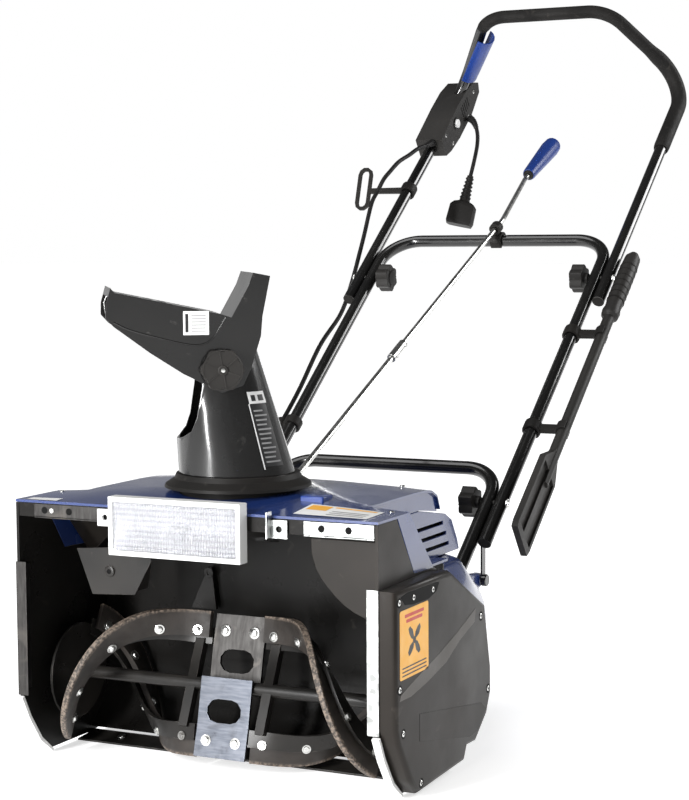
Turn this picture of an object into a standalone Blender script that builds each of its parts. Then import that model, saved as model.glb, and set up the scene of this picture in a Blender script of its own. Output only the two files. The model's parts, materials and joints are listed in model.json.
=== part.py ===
"""Single-stage electric snow thrower, in metres: +Z up, intake towards -Y, handle towards +Y.

The origin is on the ground, under the middle of the scraper bar. Left and right are the operator's,
standing behind the handle: left is +X.
"""

from math import cos, pi, radians, sin

import bmesh
import bpy
from mathutils import Matrix, Vector

# Drawn with y = 0 at the motor's axis, then moved back so that y = 0 is under the scraper bar.
FRAME_Y = 0.1175

# Housing
HALF_WIDTH = 0.242
WALL = 0.004
FRONT_Y = -0.250
TOP_Z = 0.3205
GAP = 0.0004
SHEET = 0.003
CORNER_X = 0.1860

# Auger
SHAFT_Y, SHAFT_Z, SHAFT_R = -0.155, 0.097, 0.008
AUGER_R = 0.088
AUGER_HALF = 0.226
UPPER_PHASE, LOWER_PHASE = 102, -78
BAND_START, BAND_REACH, BAND_TURN, BAND_MID_R = 0.0375, 0.169, 165, 0.064
PLATE_REACH = 0.0860
AUGER_PULLEY_R = 0.038

# Motor
MOTOR_Y, MOTOR_Z, MOTOR_R = 0.0, 0.155, 0.042
MOTOR_PULLEY_R = 0.012
BELT_X = (0.2455, 0.2555)

# Wheels
AXLE_Y, WHEEL_R, WHEEL_X, AXLE_R = 0.146, 0.070, 0.150, 0.005
AXLE_Z = WHEEL_R

# Handle: three tube frames in one sloping plane
TUBE_R, TUBE_BORE = 0.0095, 0.0080
SLOPE = radians(37.3)
ALONG = Vector((0, cos(SLOPE), sin(SLOPE)))
ACROSS = Vector((0, -sin(SLOPE), cos(SLOPE)))
CROSSBAR = Vector((0, 0.7164, 0.6293))
LOWER_X, MIDDLE_X, UPPER_X = 0.1675, 0.1870, 0.2065
KNOB_UPPER_S, KNOB_LOWER_S = -0.095, -0.580
MIDDLE_END_S, UPPER_END_S = -0.655, -0.150
STUD_R = 0.004

# Chute
CHUTE = Vector((0, -0.1315, 0))
FACING = radians(54)
DISCHARGE = Vector((-sin(FACING), -cos(FACING), 0))
NEAR_SIDE = Vector((cos(FACING), -sin(FACING), 0))
NECK_R, NECK_BORE = 0.0705, 0.0675
RING_TEETH, PINION_TEETH = 42, 7
TILT_Q, TILT_Z = 0.0255, 0.4835

# Crank rod, from its pinion up through the eye on the middle crossbar
PINION = Vector((0, -0.0475, 0.302))
ROD_SLOPE = radians(24.72)
ROD = Vector((0, cos(ROD_SLOPE), sin(ROD_SLOPE)))
ROD_R = 0.004

# Clean-out tool
TOOL_X = 0.2335
TOOL_R = 0.0085

materials = {}


def material(name, colour, rough, metallic=0.0):
    """A plain Principled material, made once for each name."""
    if name not in materials:
        made = bpy.data.materials.new(name)
        made.use_nodes = True
        shader = made.node_tree.nodes["Principled BSDF"]
        shader.inputs["Base Color"].default_value = (*colour, 1)
        shader.inputs["Roughness"].default_value = rough
        shader.inputs["Metallic"].default_value = metallic
        made.diffuse_color = (*colour, 1)
        materials[name] = made
    return materials[name]


BLACK_PLASTIC = ("black_plastic", (0.012, 0.012, 0.013), 0.35)
GLOSS_BLACK = ("gloss_black", (0.008, 0.008, 0.009), 0.15)
BLUE_PLASTIC = ("blue_plastic", (0.015, 0.045, 0.17), 0.3)
WHITE_PLASTIC = ("white_plastic", (0.8, 0.8, 0.78), 0.4)
BLACK_PAINT = ("black_paint", (0.01, 0.01, 0.01), 0.25, 0.3)
BRIGHT_STEEL = ("bright_steel", (0.6, 0.6, 0.6), 0.3, 1.0)
RUBBER = ("rubber", (0.03, 0.028, 0.026), 0.8)
CLEAR_LENS = ("clear_lens", (0.85, 0.87, 0.9), 0.08)
COPPER = ("motor_steel", (0.25, 0.25, 0.26), 0.4, 1.0)


def build(name, verts, faces, finish, origin=(0, 0, 0)):
    """One object from vertices in world space, its origin at the point given."""
    shift = Vector(origin)
    mesh = bpy.data.meshes.new(name)
    mesh.from_pydata([Vector(v) - shift for v in verts], [], faces)
    work = bmesh.new()
    work.from_mesh(mesh)
    bmesh.ops.triangulate(work, faces=work.faces)
    bmesh.ops.recalc_face_normals(work, faces=work.faces)
    work.to_mesh(mesh)
    work.free()
    mesh.shade_smooth()
    mesh.set_sharp_from_angle(angle=radians(32))
    mesh.materials.append(material(*finish))
    made = bpy.data.objects.new(name, mesh)
    made.location = shift
    bpy.context.scene.collection.objects.link(made)
    return made


def boolean(target, tool, operation):
    """A live Boolean; the tool stays as a hidden wire helper."""
    step = target.modifiers.new(f"{operation.lower()}_{tool.name}", "BOOLEAN")
    step.operation = operation
    step.solver = "EXACT"
    step.object = tool
    tool.hide_render = True
    tool.display_type = "WIRE"
    return target


def cut(target, *tools):
    for tool in tools:
        boolean(target, tool, "DIFFERENCE")
    return target


def join(target, *tools):
    for tool in tools:
        boolean(target, tool, "UNION")
    return target


def skin(rings, closed=False):
    """Vertices and faces through equal rings of points: capped at both ends, or closed on itself."""
    count = len(rings[0])
    verts = [v for ring in rings for v in ring]
    faces = []
    spans = len(rings) if closed else len(rings) - 1
    for i in range(spans):
        a, b = i * count, (i + 1) % len(rings) * count
        for j in range(count):
            k = (j + 1) % count
            faces.append((a + j, a + k, b + k, b + j))
    if not closed:
        faces.append(tuple(range(count)))
        faces.append(tuple(range(len(verts) - count, len(verts))))
    return verts, faces


def prism(name, outline, low, high, finish, axis=0, origin=(0, 0, 0)):
    """An outline in the plane across one axis, pushed along that axis from low to high."""

    def place(a, b, depth):
        point = [a, b]
        point.insert(axis, depth)
        return point

    rings = [[place(a, b, depth) for a, b in outline] for depth in (low, high)]
    return build(name, *skin(rings), finish, origin)


def slab(name, low, high, finish):
    outline = [(low[1], low[2]), (high[1], low[2]), (high[1], high[2]), (low[1], high[2])]
    return prism(name, outline, low[0], high[0], finish)


def framed_prism(name, outline, base, u, v, depth, finish, origin=(0, 0, 0)):
    """An outline in the plane of unit vectors u and v, pushed by the depth vector."""
    rings = [[base + a * u + b * v + shift for a, b in outline] for shift in (Vector(), depth)]
    return build(name, *skin(rings), finish, origin)


def basis(direction):
    """Two unit vectors across a direction; the first is level."""
    level = Vector((0, 0, 1)).cross(direction)
    if level.length < 1e-6:
        level = Vector((1, 0, 0))
    level.normalize()
    return level, direction.cross(level).normalized()


def turn(name, profile, start, direction, sides, finish, origin=None):
    """A closed loop of (radius, height) turned about the direction; radius 0 makes a pole."""
    start = Vector(start)
    direction = Vector(direction).normalized()
    u, v = basis(direction)
    verts, index = [], []
    for radius, height in profile:
        middle = start + height * direction
        if radius == 0:
            verts.append(middle)
            index.append([len(verts) - 1] * sides)
            continue
        index.append(list(range(len(verts), len(verts) + sides)))
        for k in range(sides):
            angle = 2 * pi * k / sides
            verts.append(middle + radius * (cos(angle) * u + sin(angle) * v))
    faces = []
    for i in range(len(profile)):
        a, b = index[i], index[(i + 1) % len(profile)]
        for k in range(sides):
            m = (k + 1) % sides
            face = list(dict.fromkeys((a[k], a[m], b[m], b[k])))
            if len(face) > 2:
                faces.append(face)
    return build(name, verts, faces, finish, origin if origin is not None else start)


def rod(name, start, end, radius, finish, sides=12, origin=None):
    start, end = Vector(start), Vector(end)
    length = (end - start).length
    profile = [(0, 0), (radius, 0), (radius, length), (0, length)]
    return turn(name, profile, start, end - start, sides, finish, origin)


def rounded(corners, radius, steps=4):
    """A polyline whose inner corners are replaced by arcs of the given radius."""
    corners = [Vector(c) for c in corners]
    path = [corners[0]]
    for before, corner, after in zip(corners, corners[1:], corners[2:]):
        a, b = (before - corner).normalized(), (after - corner).normalized()
        half = a.angle(b) / 2
        reach = radius / (sin(half) / cos(half))
        middle = corner + (a + b).normalized() * (radius / sin(half))
        first, last = corner + a * reach - middle, corner + b * reach - middle
        sweep_angle = first.angle(last)
        for i in range(steps + 1):
            t = i / steps
            share = (sin((1 - t) * sweep_angle) * first + sin(t * sweep_angle) * last) / sin(sweep_angle)
            path.append(middle + share)
    path.append(corners[-1])
    return path


def curve_through(points, count):
    """Points spaced along a smooth Catmull-Rom curve through the route."""
    points = [Vector(p) for p in points]
    ends = [2 * points[0] - points[1], *points, 2 * points[-1] - points[-2]]
    fine = []
    for p0, p1, p2, p3 in zip(ends, ends[1:], ends[2:], ends[3:]):
        for i in range(12):
            t = i / 12
            fine.append(0.5 * (2 * p1 + (p2 - p0) * t + (2 * p0 - 5 * p1 + 4 * p2 - p3) * t * t
                               + (3 * p1 - p0 - 3 * p2 + p3) * t ** 3))
    fine.append(points[-1])
    lengths = [0.0]
    for a, b in zip(fine, fine[1:]):
        lengths.append(lengths[-1] + (b - a).length)
    path, j = [], 0
    for i in range(count):
        target = lengths[-1] * i / (count - 1)
        while j < len(fine) - 2 and lengths[j + 1] < target:
            j += 1
        t = (target - lengths[j]) / (lengths[j + 1] - lengths[j])
        path.append(fine[j].lerp(fine[j + 1], min(t, 1)))
    return path


def tube(name, path, radius, finish, bore=0.0, sides=9, origin=(0, 0, 0), part=None):
    """A round tube along a path, or part of it; hollow and open-ended where it has a bore."""
    radii = radius if isinstance(radius, list) else [radius] * len(path)
    heading = [(b - a).normalized() for a, b in zip(path, path[1:])]
    heading = [heading[0], *[(a + b).normalized() for a, b in zip(heading, heading[1:])], heading[-1]]
    side = heading[0].orthogonal().normalized()
    frames = []
    for point, ahead in zip(path, heading):
        side = (side - side.dot(ahead) * ahead).normalized()
        frames.append((point, side, ahead.cross(side)))

    def ring(frame, size):
        point, u, v = frame
        turns = [2 * pi * k / sides for k in range(sides)]
        return [point + size * (cos(a) * u + sin(a) * v) for a in turns]

    first, last = part or (0, len(path))
    frames, radii = frames[first:last], radii[first:last]
    outer = [ring(frame, size) for frame, size in zip(frames, radii)]
    if not bore:
        return build(name, *skin(outer), finish, origin)
    inner = [ring(frame, bore) for frame in reversed(frames)]
    return build(name, *skin(outer + inner, closed=True), finish, origin)


def cable(name, path, radius, finish):
    """A cable as a bevelled poly curve with closed ends."""
    curve = bpy.data.curves.new(name, "CURVE")
    curve.dimensions = "3D"
    curve.bevel_depth = radius
    curve.bevel_resolution = 2
    curve.use_fill_caps = True
    spline = curve.splines.new("POLY")
    spline.points.add(len(path) - 1)
    for point, place in zip(spline.points, path):
        point.co = (*place, 1)
    curve.materials.append(material(*finish))
    made = bpy.data.objects.new(name, curve)
    bpy.context.scene.collection.objects.link(made)
    return made


def on_handle(x, s, h=0.0):
    """A point of the handle plane: s along the slope from the middle crossbar, h above the plane."""
    return Vector((x, 0, 0)) + CROSSBAR + s * ALONG + h * ACROSS


def arc(middle, radius, first, last, steps):
    """Points (y, z) on an arc; angles in degrees from +Y towards +Z."""
    angles = [radians(first + (last - first) * i / steps) for i in range(steps + 1)]
    return [(middle[0] + radius * cos(a), middle[1] + radius * sin(a)) for a in angles]


def stadium(half_length, half_width, steps=5):
    """An outline with two parallel sides and round ends, along its first coordinate."""
    straight = half_length - half_width
    right = [(straight + half_width * cos(a), half_width * sin(a))
             for a in (radians(-90 + 180 * i / steps) for i in range(steps + 1))]
    return right + [(-a, -b) for a, b in right]


def make_scoop():
    """The curved back and roof of the auger chamber, with its front lip and the two axle arms."""
    middle = (SHAFT_Y, SHAFT_Z)
    inner = [(-0.2490, 0.3040), (-0.0610, 0.2875), (-0.0590, 0.1600)]
    inner += arc(middle, 0.0985, 12, -58, 8)
    outer = [(-0.2490, TOP_Z), (-0.2460, TOP_Z), (-0.2460, 0.3068), (-0.0580, 0.2905), (-0.0555, 0.1600)]
    outer += arc(middle, 0.0985 + SHEET, 12, -58, 8)
    scoop = prism("scoop", outer + inner[::-1], -HALF_WIDTH + WALL + GAP, HALF_WIDTH - WALL - GAP,
                  BLACK_PLASTIC)
    arm = [(-0.0570, 0.060), (0.0, 0.055), (AXLE_Y - 0.01, AXLE_Z - 0.012), (AXLE_Y + 0.012, AXLE_Z - 0.008),
           (AXLE_Y + 0.012, AXLE_Z + 0.010), (AXLE_Y - 0.01, AXLE_Z + 0.014), (0.0, 0.105), (-0.0570, 0.120)]
    for side in (-1, 1):
        x = side * 0.118
        join(scoop, prism("axle_arm", arm, x - 0.003, x + 0.003, BLACK_PLASTIC))
    cut(scoop, rod("chute_hole", CHUTE + Vector((0, 0, 0.26)), CHUTE + Vector((0, 0, 0.34)), 0.0735,
                   BLACK_PLASTIC, 32))
    cut(scoop, rod("axle_hole", (-0.2, AXLE_Y, AXLE_Z), (0.2, AXLE_Y, AXLE_Z), AXLE_R + 0.0003,
                   BLACK_PLASTIC))
    behind = [(-0.1682, 0.3200), (-0.1682, 0.35), (0.02, 0.35), (0.02, 0.2480), (-0.1012, 0.2480)]
    for side in (-1, 1):
        low, high = sorted((side * CORNER_X, side * 0.26))
        cut(scoop, prism("scoop_corner", behind, low, high, BLACK_PLASTIC))


def side_outline():
    """(y, z) of a side plate."""
    return [(FRONT_Y, TOP_Z), (FRONT_Y, 0.084), (-0.236, 0.056), (-0.214, 0.024), (-0.190, 0.0040),
            (-0.100, 0.0040), (-0.020, 0.014), (0.022, 0.052), (0.034, 0.100), (0.015, 0.189),
            (-0.095, 0.250), (-0.1535, 0.2515), (-0.200, TOP_Z)]


def make_side_plates():
    for name, side in (("side_plate_left", 1), ("side_plate_right", -1)):
        low, high = sorted((side * (HALF_WIDTH - WALL), side * HALF_WIDTH))
        plate = prism(name, side_outline(), low, high, BLACK_PLASTIC)
        hole = rod("bearing_hole", (side * 0.2, SHAFT_Y, SHAFT_Z), (side * 0.3, SHAFT_Y, SHAFT_Z), 0.0163,
                   BLACK_PLASTIC, 20)
        cut(plate, hole)
        if side > 0:
            cut(plate, rod("motor_hole", (0.2, MOTOR_Y, MOTOR_Z), (0.3, MOTOR_Y, MOTOR_Z), 0.0160,
                           BLACK_PLASTIC, 16))


def make_front_trim():
    """Scraper bar, steel edge strips and white wear strips."""
    outline = [(-0.1340, 0.0), (-0.1010, 0.0), (-0.0985, 0.0075), (-0.1040, 0.0085), (-0.1120, 0.0042),
               (-0.1340, 0.0025)]
    x = HALF_WIDTH - WALL - GAP
    prism("scraper_bar", outline, -x, x, BLACK_PAINT)
    for side, word in ((1, "left"), (-1, "right")):
        low, high = sorted((side * 0.2280, side * 0.2425))
        strip = slab(f"edge_strip_{word}", (low, FRONT_Y - 0.0019, 0.084), (high, FRONT_Y - 0.0004, 0.248),
                     BRIGHT_STEEL)
        low, high = sorted((side * 0.2360, side * 0.2376))
        join(strip, slab("edge_flange", (low, FRONT_Y - 0.0010, 0.090), (high, -0.232, 0.244), BRIGHT_STEEL))
        inner = [(-0.2506, 0.0830), (-0.2366, 0.0556), (-0.2146, 0.0236), (-0.1904, 0.0034)]
        outer = [(-0.2550, 0.0810), (-0.2405, 0.0525), (-0.2180, 0.0200), (-0.1920, 0.0003)]
        low, high = sorted((side * 0.2345, side * 0.2440))
        prism(f"wear_strip_{word}", outer + inner[::-1], low, high, WHITE_PLASTIC)


DECK_STATIONS = [(FRONT_Y, 0.3240, 0.0), (-0.225, 0.3240, 0.004), (-0.190, 0.3240, 0.009),
                 (-0.150, 0.3240, 0.012), (-0.100, 0.3240, 0.012), (-0.050, 0.3240, 0.012),
                 (-0.010, 0.3235, 0.0115), (0.012, 0.3215, 0.0100), (0.028, 0.3150, 0.0070),
                 (0.036, 0.3005, 0.0030)]


def make_deck():
    """The crowned top deck, with the slanted panels that close its two rear corners."""
    xs = [-0.2420, -0.225, -0.19, -0.14, -0.07, 0, 0.07, 0.14, 0.19, 0.225, 0.2420]
    rings = []
    for y, edge, rise in DECK_STATIONS:
        top = [(x, y, edge + rise * (1 - (x / HALF_WIDTH) ** 2)) for x in xs]
        rings.append(top + [(x, y, z - SHEET) for x, y, z in reversed(top)])
    deck = build("top_deck", *skin(rings), BLUE_PLASTIC)
    corner = [(-0.1655, 0.36), (-0.1655, 0.3235), (-0.0975, 0.2500), (0.06, 0.25), (0.06, 0.36)]
    skirt = [(-0.1985, 0.3222), (-0.1525, 0.2517), (-0.0985, 0.2503), (-0.1650, 0.3222)]
    panel = [(-0.1700, 0.3232), (-0.1002, 0.2507), (-0.0510, 0.2507), (-0.0510, 0.2537), (-0.0975, 0.2537),
             (-0.1632, 0.3244)]
    flank = [(-0.1640, 0.3226), (-0.0990, 0.2522), (-0.0506, 0.2522), (-0.0506, 0.3040), (-0.0200, 0.3040),
             (0.0330, 0.2965), (0.0330, 0.3062), (0.0270, 0.3162), (0.0110, 0.3240), (-0.0100, 0.3265),
             (-0.1500, 0.3272)]
    for side in (-1, 1):
        low, high = sorted((side * 0.1925, side * 0.2600))
        cut(deck, prism("deck_corner", corner, low, high, BLUE_PLASTIC))
    for side in (-1, 1):
        low, high = sorted((side * 0.2385, side * 0.2418))
        join(deck, prism("corner_skirt", skirt, low, high, BLUE_PLASTIC))
        low, high = sorted((side * (CORNER_X + 0.001), side * 0.2400))
        join(deck, prism("corner_panel", panel, low, high, BLUE_PLASTIC))
        low, high = sorted((side * (CORNER_X + 0.0004), side * 0.1890))
        join(deck, prism("corner_flank", flank, low, high, BLUE_PLASTIC))
    cut(deck, rod("deck_hole", CHUTE + Vector((0, 0, 0.28)), CHUTE + Vector((0, 0, 0.36)), 0.0735,
                  BLUE_PLASTIC, 32))
    cut(deck, rod("rod_slot", PINION, PINION + 0.12 * ROD, 0.0060, BLUE_PLASTIC, 12))


def shell_outline(z, inset):
    """(x, y) of the rear shell at a height: flanks that taper to a rounded back, rounded over above."""
    over = max(0.0, (z - 0.150) / 0.080)
    low = max(0.0, (0.150 - z) / 0.10)
    front = -0.0535 if inset == 0 else -0.0700
    half = [(0.2372 - 0.012 * over ** 3, front), (0.2372 - 0.012 * over ** 3, 0.040),
            (0.2215 - 0.022 * over ** 2 + 0.006 * low, 0.118 - 0.045 * over ** 2),
            (0.1970 - 0.040 * over ** 2 + 0.004 * low, 0.172 - 0.070 * over ** 2 + 0.004 * low),
            (0.1680 - 0.050 * over ** 2, 0.222 - 0.085 * over ** 2 + 0.008 * low),
            (0.1150 - 0.040 * over ** 2, 0.248 - 0.090 * over ** 2 + 0.008 * low)]
    half = [(x - inset, y - (inset if i > 1 else 0)) for i, (x, y) in enumerate(half)]
    return half + [(-x, y) for x, y in reversed(half)]


def make_rear_shell():
    """The rounded blue shell behind the scoop: open in front and below, with lugs for the braces."""
    heights = [0.050, 0.10, 0.15, 0.18, 0.205, 0.225, 0.238]
    shell = build("rear_shell", *skin([[(x, y, z) for x, y in shell_outline(z, 0)] for z in heights]),
                  BLUE_PLASTIC)
    inside = [0.030, 0.10, 0.15, 0.178, 0.202, 0.221, 0.2345]
    inner = [[(x, y, z) for x, y in shell_outline(z + 0.003, 0.0035)] for z in inside]
    for side in (-1, 1):
        low, high = sorted((side * 0.1545, side * 0.1655))
        lug = [(0.1850, 0.160), (0.2380, 0.165), (0.2470, 0.1750), (0.2380, 0.185), (0.1850, 0.190)]
        join(shell, prism("brace_lug", lug, low, high, BLUE_PLASTIC))
    cut(shell, build("shell_hollow", *skin(inner), BLUE_PLASTIC))
    for side in (-1, 1):
        cut(shell, rod("leg_hole", on_handle(side * LOWER_X, -0.62), on_handle(side * LOWER_X, -0.78),
                       TUBE_R + 0.0008, BLUE_PLASTIC, 16))
    cut(shell, rod("motor_clearance", (0.2, MOTOR_Y, MOTOR_Z), (0.3, MOTOR_Y, MOTOR_Z), 0.0165, BLUE_PLASTIC,
                   16))
    cut(shell, rod("cable_entry", (-0.2080, 0.200, 0.230), (-0.1850, 0.110, 0.175), 0.0050, BLUE_PLASTIC))
    cut(shell, slab("hump_opening", (-0.150, -0.030, 0.225), (0.150, 0.080, 0.26), BLUE_PLASTIC))


def make_motor_cover():
    """The vented hump over the motor, open below and in front."""
    side = [(-0.0500, 0.2390), (-0.0500, 0.3035), (-0.0200, 0.3035), (0.0600, 0.2900), (0.0800, 0.2800),
            (0.0980, 0.2530), (0.1040, 0.2390)]
    hump = prism("motor_cover", side, -0.1895, 0.1895, BLUE_PLASTIC)
    inner = [(-0.0600, 0.230), (-0.0600, 0.3005), (-0.0205, 0.3005), (0.0585, 0.2872), (0.0775, 0.2780),
             (0.0950, 0.2518), (0.1000, 0.230)]
    cut(hump, prism("hump_hollow", inner, -0.1865, 0.1865, BLUE_PLASTIC))
    cut(hump, slab("pinion_room", (-0.022, -0.06, 0.26), (0.022, -0.022, 0.32), BLUE_PLASTIC))
    for end in (-1, 1):
        for row, (front, back) in enumerate(((-0.036, 0.052), (-0.036, 0.062), (-0.036, 0.070))):
            z = 0.280 - 0.014 * row
            low, high = sorted((end * 0.180, end * 0.195))
            cut(hump, slab("vent_slot", (low, front, z - 0.002), (high, back, z + 0.002), BLUE_PLASTIC))


def make_belt_cover():
    """The dark cover of the belt drive on the left side, open towards the side plate."""
    outer = [(-0.2500, 0.090), (-0.2500, 0.2470), (-0.1290, 0.2490), (-0.095, 0.2475), (0.0128, 0.189),
             (0.0320, 0.108), (0.0320, 0.077), (0.0190, 0.052), (-0.0165, 0.0255), (-0.0446, 0.0260),
             (-0.0540, 0.0100), (-0.1900, 0.0060), (-0.2130, 0.0280), (-0.2420, 0.0720)]
    x0, x1 = HALF_WIDTH + GAP, 0.2640
    middle = Vector((-0.105, 0.130))

    def ring(shrink, x):
        return [(x, *(Vector(p) + (middle - Vector(p)).normalized() * shrink)) for p in outer]

    cover = build("belt_cover", *skin([ring(0, x0), ring(0, x1 - 0.006), ring(0.006, x1)]), BLACK_PLASTIC)
    cut(cover, build("cover_hollow", *skin([ring(0.004, x0 - 0.005), ring(0.004, x1 - 0.0065),
                                           ring(0.009, x1 - 0.003)]), BLACK_PLASTIC))


def make_lamp():
    """Headlight housing with its ear, the lens in front, and the bare bracket beside it."""
    x0, x1, z0, z1 = -0.0985, 0.0780, 0.2680, 0.3370
    y0, y1 = -0.2680, -0.2505
    housing = slab("lamp_housing", (x0, y0, z0), (x1, y1, z1), WHITE_PLASTIC)
    join(housing, slab("lamp_ear", (x0 - 0.024, y1 - 0.004, 0.2990), (x0 + 0.002, y1, 0.3195), BRIGHT_STEEL))
    cut(housing, slab("lamp_well", (x0 + 0.006, y0 - 0.01, z0 + 0.006), (x1 - 0.006, y0 + 0.011, z1 - 0.006),
                      WHITE_PLASTIC))
    cut(housing, rod("ear_hole", (x0 - 0.0135, -0.27, 0.3095), (x0 - 0.0135, -0.24, 0.3095), 0.0035,
                     BRIGHT_STEEL))
    slab("lamp_lens", (x0 + 0.0063, y0 + 0.0008, z0 + 0.0063), (x1 - 0.0063, y0 + 0.0035, z1 - 0.0063),
         CLEAR_LENS)
    tab = slab("lamp_bracket", (0.1090, -0.2524, 0.2985), (0.1300, -0.2504, 0.3195), BRIGHT_STEEL)
    join(tab, slab("bracket_wing", (0.1075, -0.2620, 0.2985), (0.1095, -0.2504, 0.3290), BRIGHT_STEEL))
    cut(tab, rod("bracket_hole", (0.1195, -0.27, 0.3090), (0.1195, -0.24, 0.3090), 0.0038, BRIGHT_STEEL))


def make_drive():
    """Bearings, motor, its rotor and pulley, and the belt."""
    for side, word in ((1, "left"), (-1, "right")):
        profile = [(SHAFT_R + 0.0003, 0), (0.024, 0), (0.024, 0.0040), (0.0160, 0.0040), (0.0160, 0.0085),
                   (SHAFT_R + 0.0003, 0.0085)]
        turn(f"bearing_{word}", profile, (side * 0.2335, SHAFT_Y, SHAFT_Z), (side, 0, 0), 20, BRIGHT_STEEL)
    body = [(0.0, 0), (0.030, 0), (MOTOR_R, 0.008), (MOTOR_R, 0.118), (0.030, 0.126), (0.0140, 0.126),
            (0.0140, 0.1300), (0.0066, 0.1300), (0.0066, 0.1100), (0.0, 0.1100)]
    turn("motor", body, (0.1050, MOTOR_Y, MOTOR_Z), (1, 0, 0), 24, COPPER)
    rotor = [(0.0, 0.1110), (0.0060, 0.1110), (0.0060, 0.1392), (MOTOR_PULLEY_R + 0.004, 0.1392),
             (MOTOR_PULLEY_R + 0.004, 0.1402), (MOTOR_PULLEY_R, 0.1402), (MOTOR_PULLEY_R, 0.1508),
             (MOTOR_PULLEY_R + 0.003, 0.1508), (MOTOR_PULLEY_R + 0.003, 0.1518), (0.0, 0.1518)]
    turn("motor_rotor", rotor, (0.1050, MOTOR_Y, MOTOR_Z), (1, 0, 0), 16, BRIGHT_STEEL)
    gap = Vector((MOTOR_Y - SHAFT_Y, MOTOR_Z - SHAFT_Z))
    lean = Vector((1, 0)).angle(gap)
    half = pi / 2 - (AUGER_PULLEY_R - MOTOR_PULLEY_R) / gap.length

    def loop(extra):
        big = [(SHAFT_Y + (AUGER_PULLEY_R + extra) * cos(lean + half + a),
                SHAFT_Z + (AUGER_PULLEY_R + extra) * sin(lean + half + a))
               for a in (2 * (pi - half) * i / 14 for i in range(15))]
        small = [(MOTOR_Y + (MOTOR_PULLEY_R + extra) * cos(lean - half + a),
                  MOTOR_Z + (MOTOR_PULLEY_R + extra) * sin(lean - half + a))
                 for a in (2 * half * i / 10 for i in range(11))]
        return big + small

    belt = prism("drive_belt", loop(0.0038), *BELT_X, RUBBER)
    cut(belt, prism("belt_inside", loop(0.0012), BELT_X[0] - 0.01, BELT_X[1] + 0.01, RUBBER))


def band_frame(side, phase, t):
    """Middle of a band at t of its length, its outward direction, and its normal on the strip's side."""
    angle = radians(phase - BAND_TURN * t * t)
    out = Vector((0, -cos(angle), sin(angle)))
    across = Vector((0, sin(angle), cos(angle)))
    lean = 2 * radians(BAND_TURN) * t * BAND_MID_R
    normal = (BAND_REACH * across + Vector((side * lean, 0, 0))).normalized()
    return Vector((side * (BAND_START + BAND_REACH * t), SHAFT_Y, SHAFT_Z)), out, normal


def helix_band(name, side, phase, inner_r, outer_r, shift, thickness, finish, reach=1.0):
    """A band that starts level with the centre plates and winds ever faster towards the end disc."""
    steps = 18
    rings = []
    for i in range(steps + 1):
        middle, out, normal = band_frame(side, phase, reach * (i / steps) ** 0.7)
        near, far = middle + normal * shift, middle + normal * (shift + thickness)
        rings.append([near + out * inner_r, near + out * outer_r, far + out * outer_r, far + out * inner_r])
    return build(name, *skin(rings), finish, (0, SHAFT_Y, SHAFT_Z))


def make_auger():
    """Welded shaft, discs and spiral strips, then the bolted rubber bands, centre plates and pulley."""
    base = Vector((0, SHAFT_Y, SHAFT_Z))
    frame = rod("auger_frame", base + Vector((-0.2470, 0, 0)), base + Vector((0.2600, 0, 0)), SHAFT_R,
                BLACK_PAINT, 16, base)
    for side in (-1, 1):
        disc = [(0, 0), (0.060, 0), (0.060, 0.003), (0, 0.003)]
        join(frame, turn("end_disc", disc, base + Vector((side * 0.2182, 0, 0)), (side, 0, 0), 24,
                         BLACK_PAINT))
        for phase in (UPPER_PHASE, LOWER_PHASE):
            join(frame, helix_band("spiral_strip", side, phase, 0.0480, 0.0680, 0.0100, 0.0040,
                                   BLACK_PAINT, 1.01))
            angle = radians(phase + 13)
            out = Vector((0, -cos(angle), sin(angle)))
            across = Vector((0, sin(angle), cos(angle)))
            spoke = [(0.002, -0.006), (0.0545, -0.006), (0.0545, 0.006), (0.002, 0.006)]
            start = base + Vector((side * 0.0466, 0, 0))
            join(frame, framed_prism("centre_spoke", spoke, start, out, across, Vector((side * 0.012, 0, 0)),
                                     BLACK_PAINT))
    for word, phase in (("upper", UPPER_PHASE), ("lower", LOWER_PHASE)):
        angle = radians(phase)
        out = Vector((0, -cos(angle), sin(angle)))
        across = Vector((0, sin(angle), cos(angle)))
        face = SHAFT_R + 0.0006
        outline = [(-0.010, face), (0.0465, face), (PLATE_REACH, face + 0.003), (PLATE_REACH, face + 0.007),
                   (0.0460, face + 0.004), (-0.010, face + 0.004)]
        plate = framed_prism(f"centre_plate_{word}", outline, base + Vector((-0.0350, 0, 0)), out, across,
                             Vector((0.070, 0, 0)), BRIGHT_STEEL, base)
        hole = framed_prism("plate_slot", stadium(0.0235, 0.0140), base + 0.030 * out - 0.03 * across,
                            Vector((1, 0, 0)), out, 0.08 * across, BRIGHT_STEEL)
        cut(plate, hole)
        for side, half in ((1, "left"), (-1, "right")):
            helix_band(f"rubber_blade_{word}_{half}", side, phase, 0.0560, AUGER_R, 0.0, 0.0078, RUBBER)
    profile = [(SHAFT_R + 0.0003, 0), (AUGER_PULLEY_R + 0.0045, 0), (AUGER_PULLEY_R + 0.0045, 0.0008),
               (AUGER_PULLEY_R, 0.0008), (AUGER_PULLEY_R, 0.0112), (AUGER_PULLEY_R + 0.0045, 0.0112),
               (AUGER_PULLEY_R + 0.0045, 0.0120), (SHAFT_R + 0.0003, 0.0120)]
    turn("auger_pulley", profile, base + Vector((0.2446, 0, 0)), (1, 0, 0), 24, BLACK_PLASTIC, base)


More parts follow.
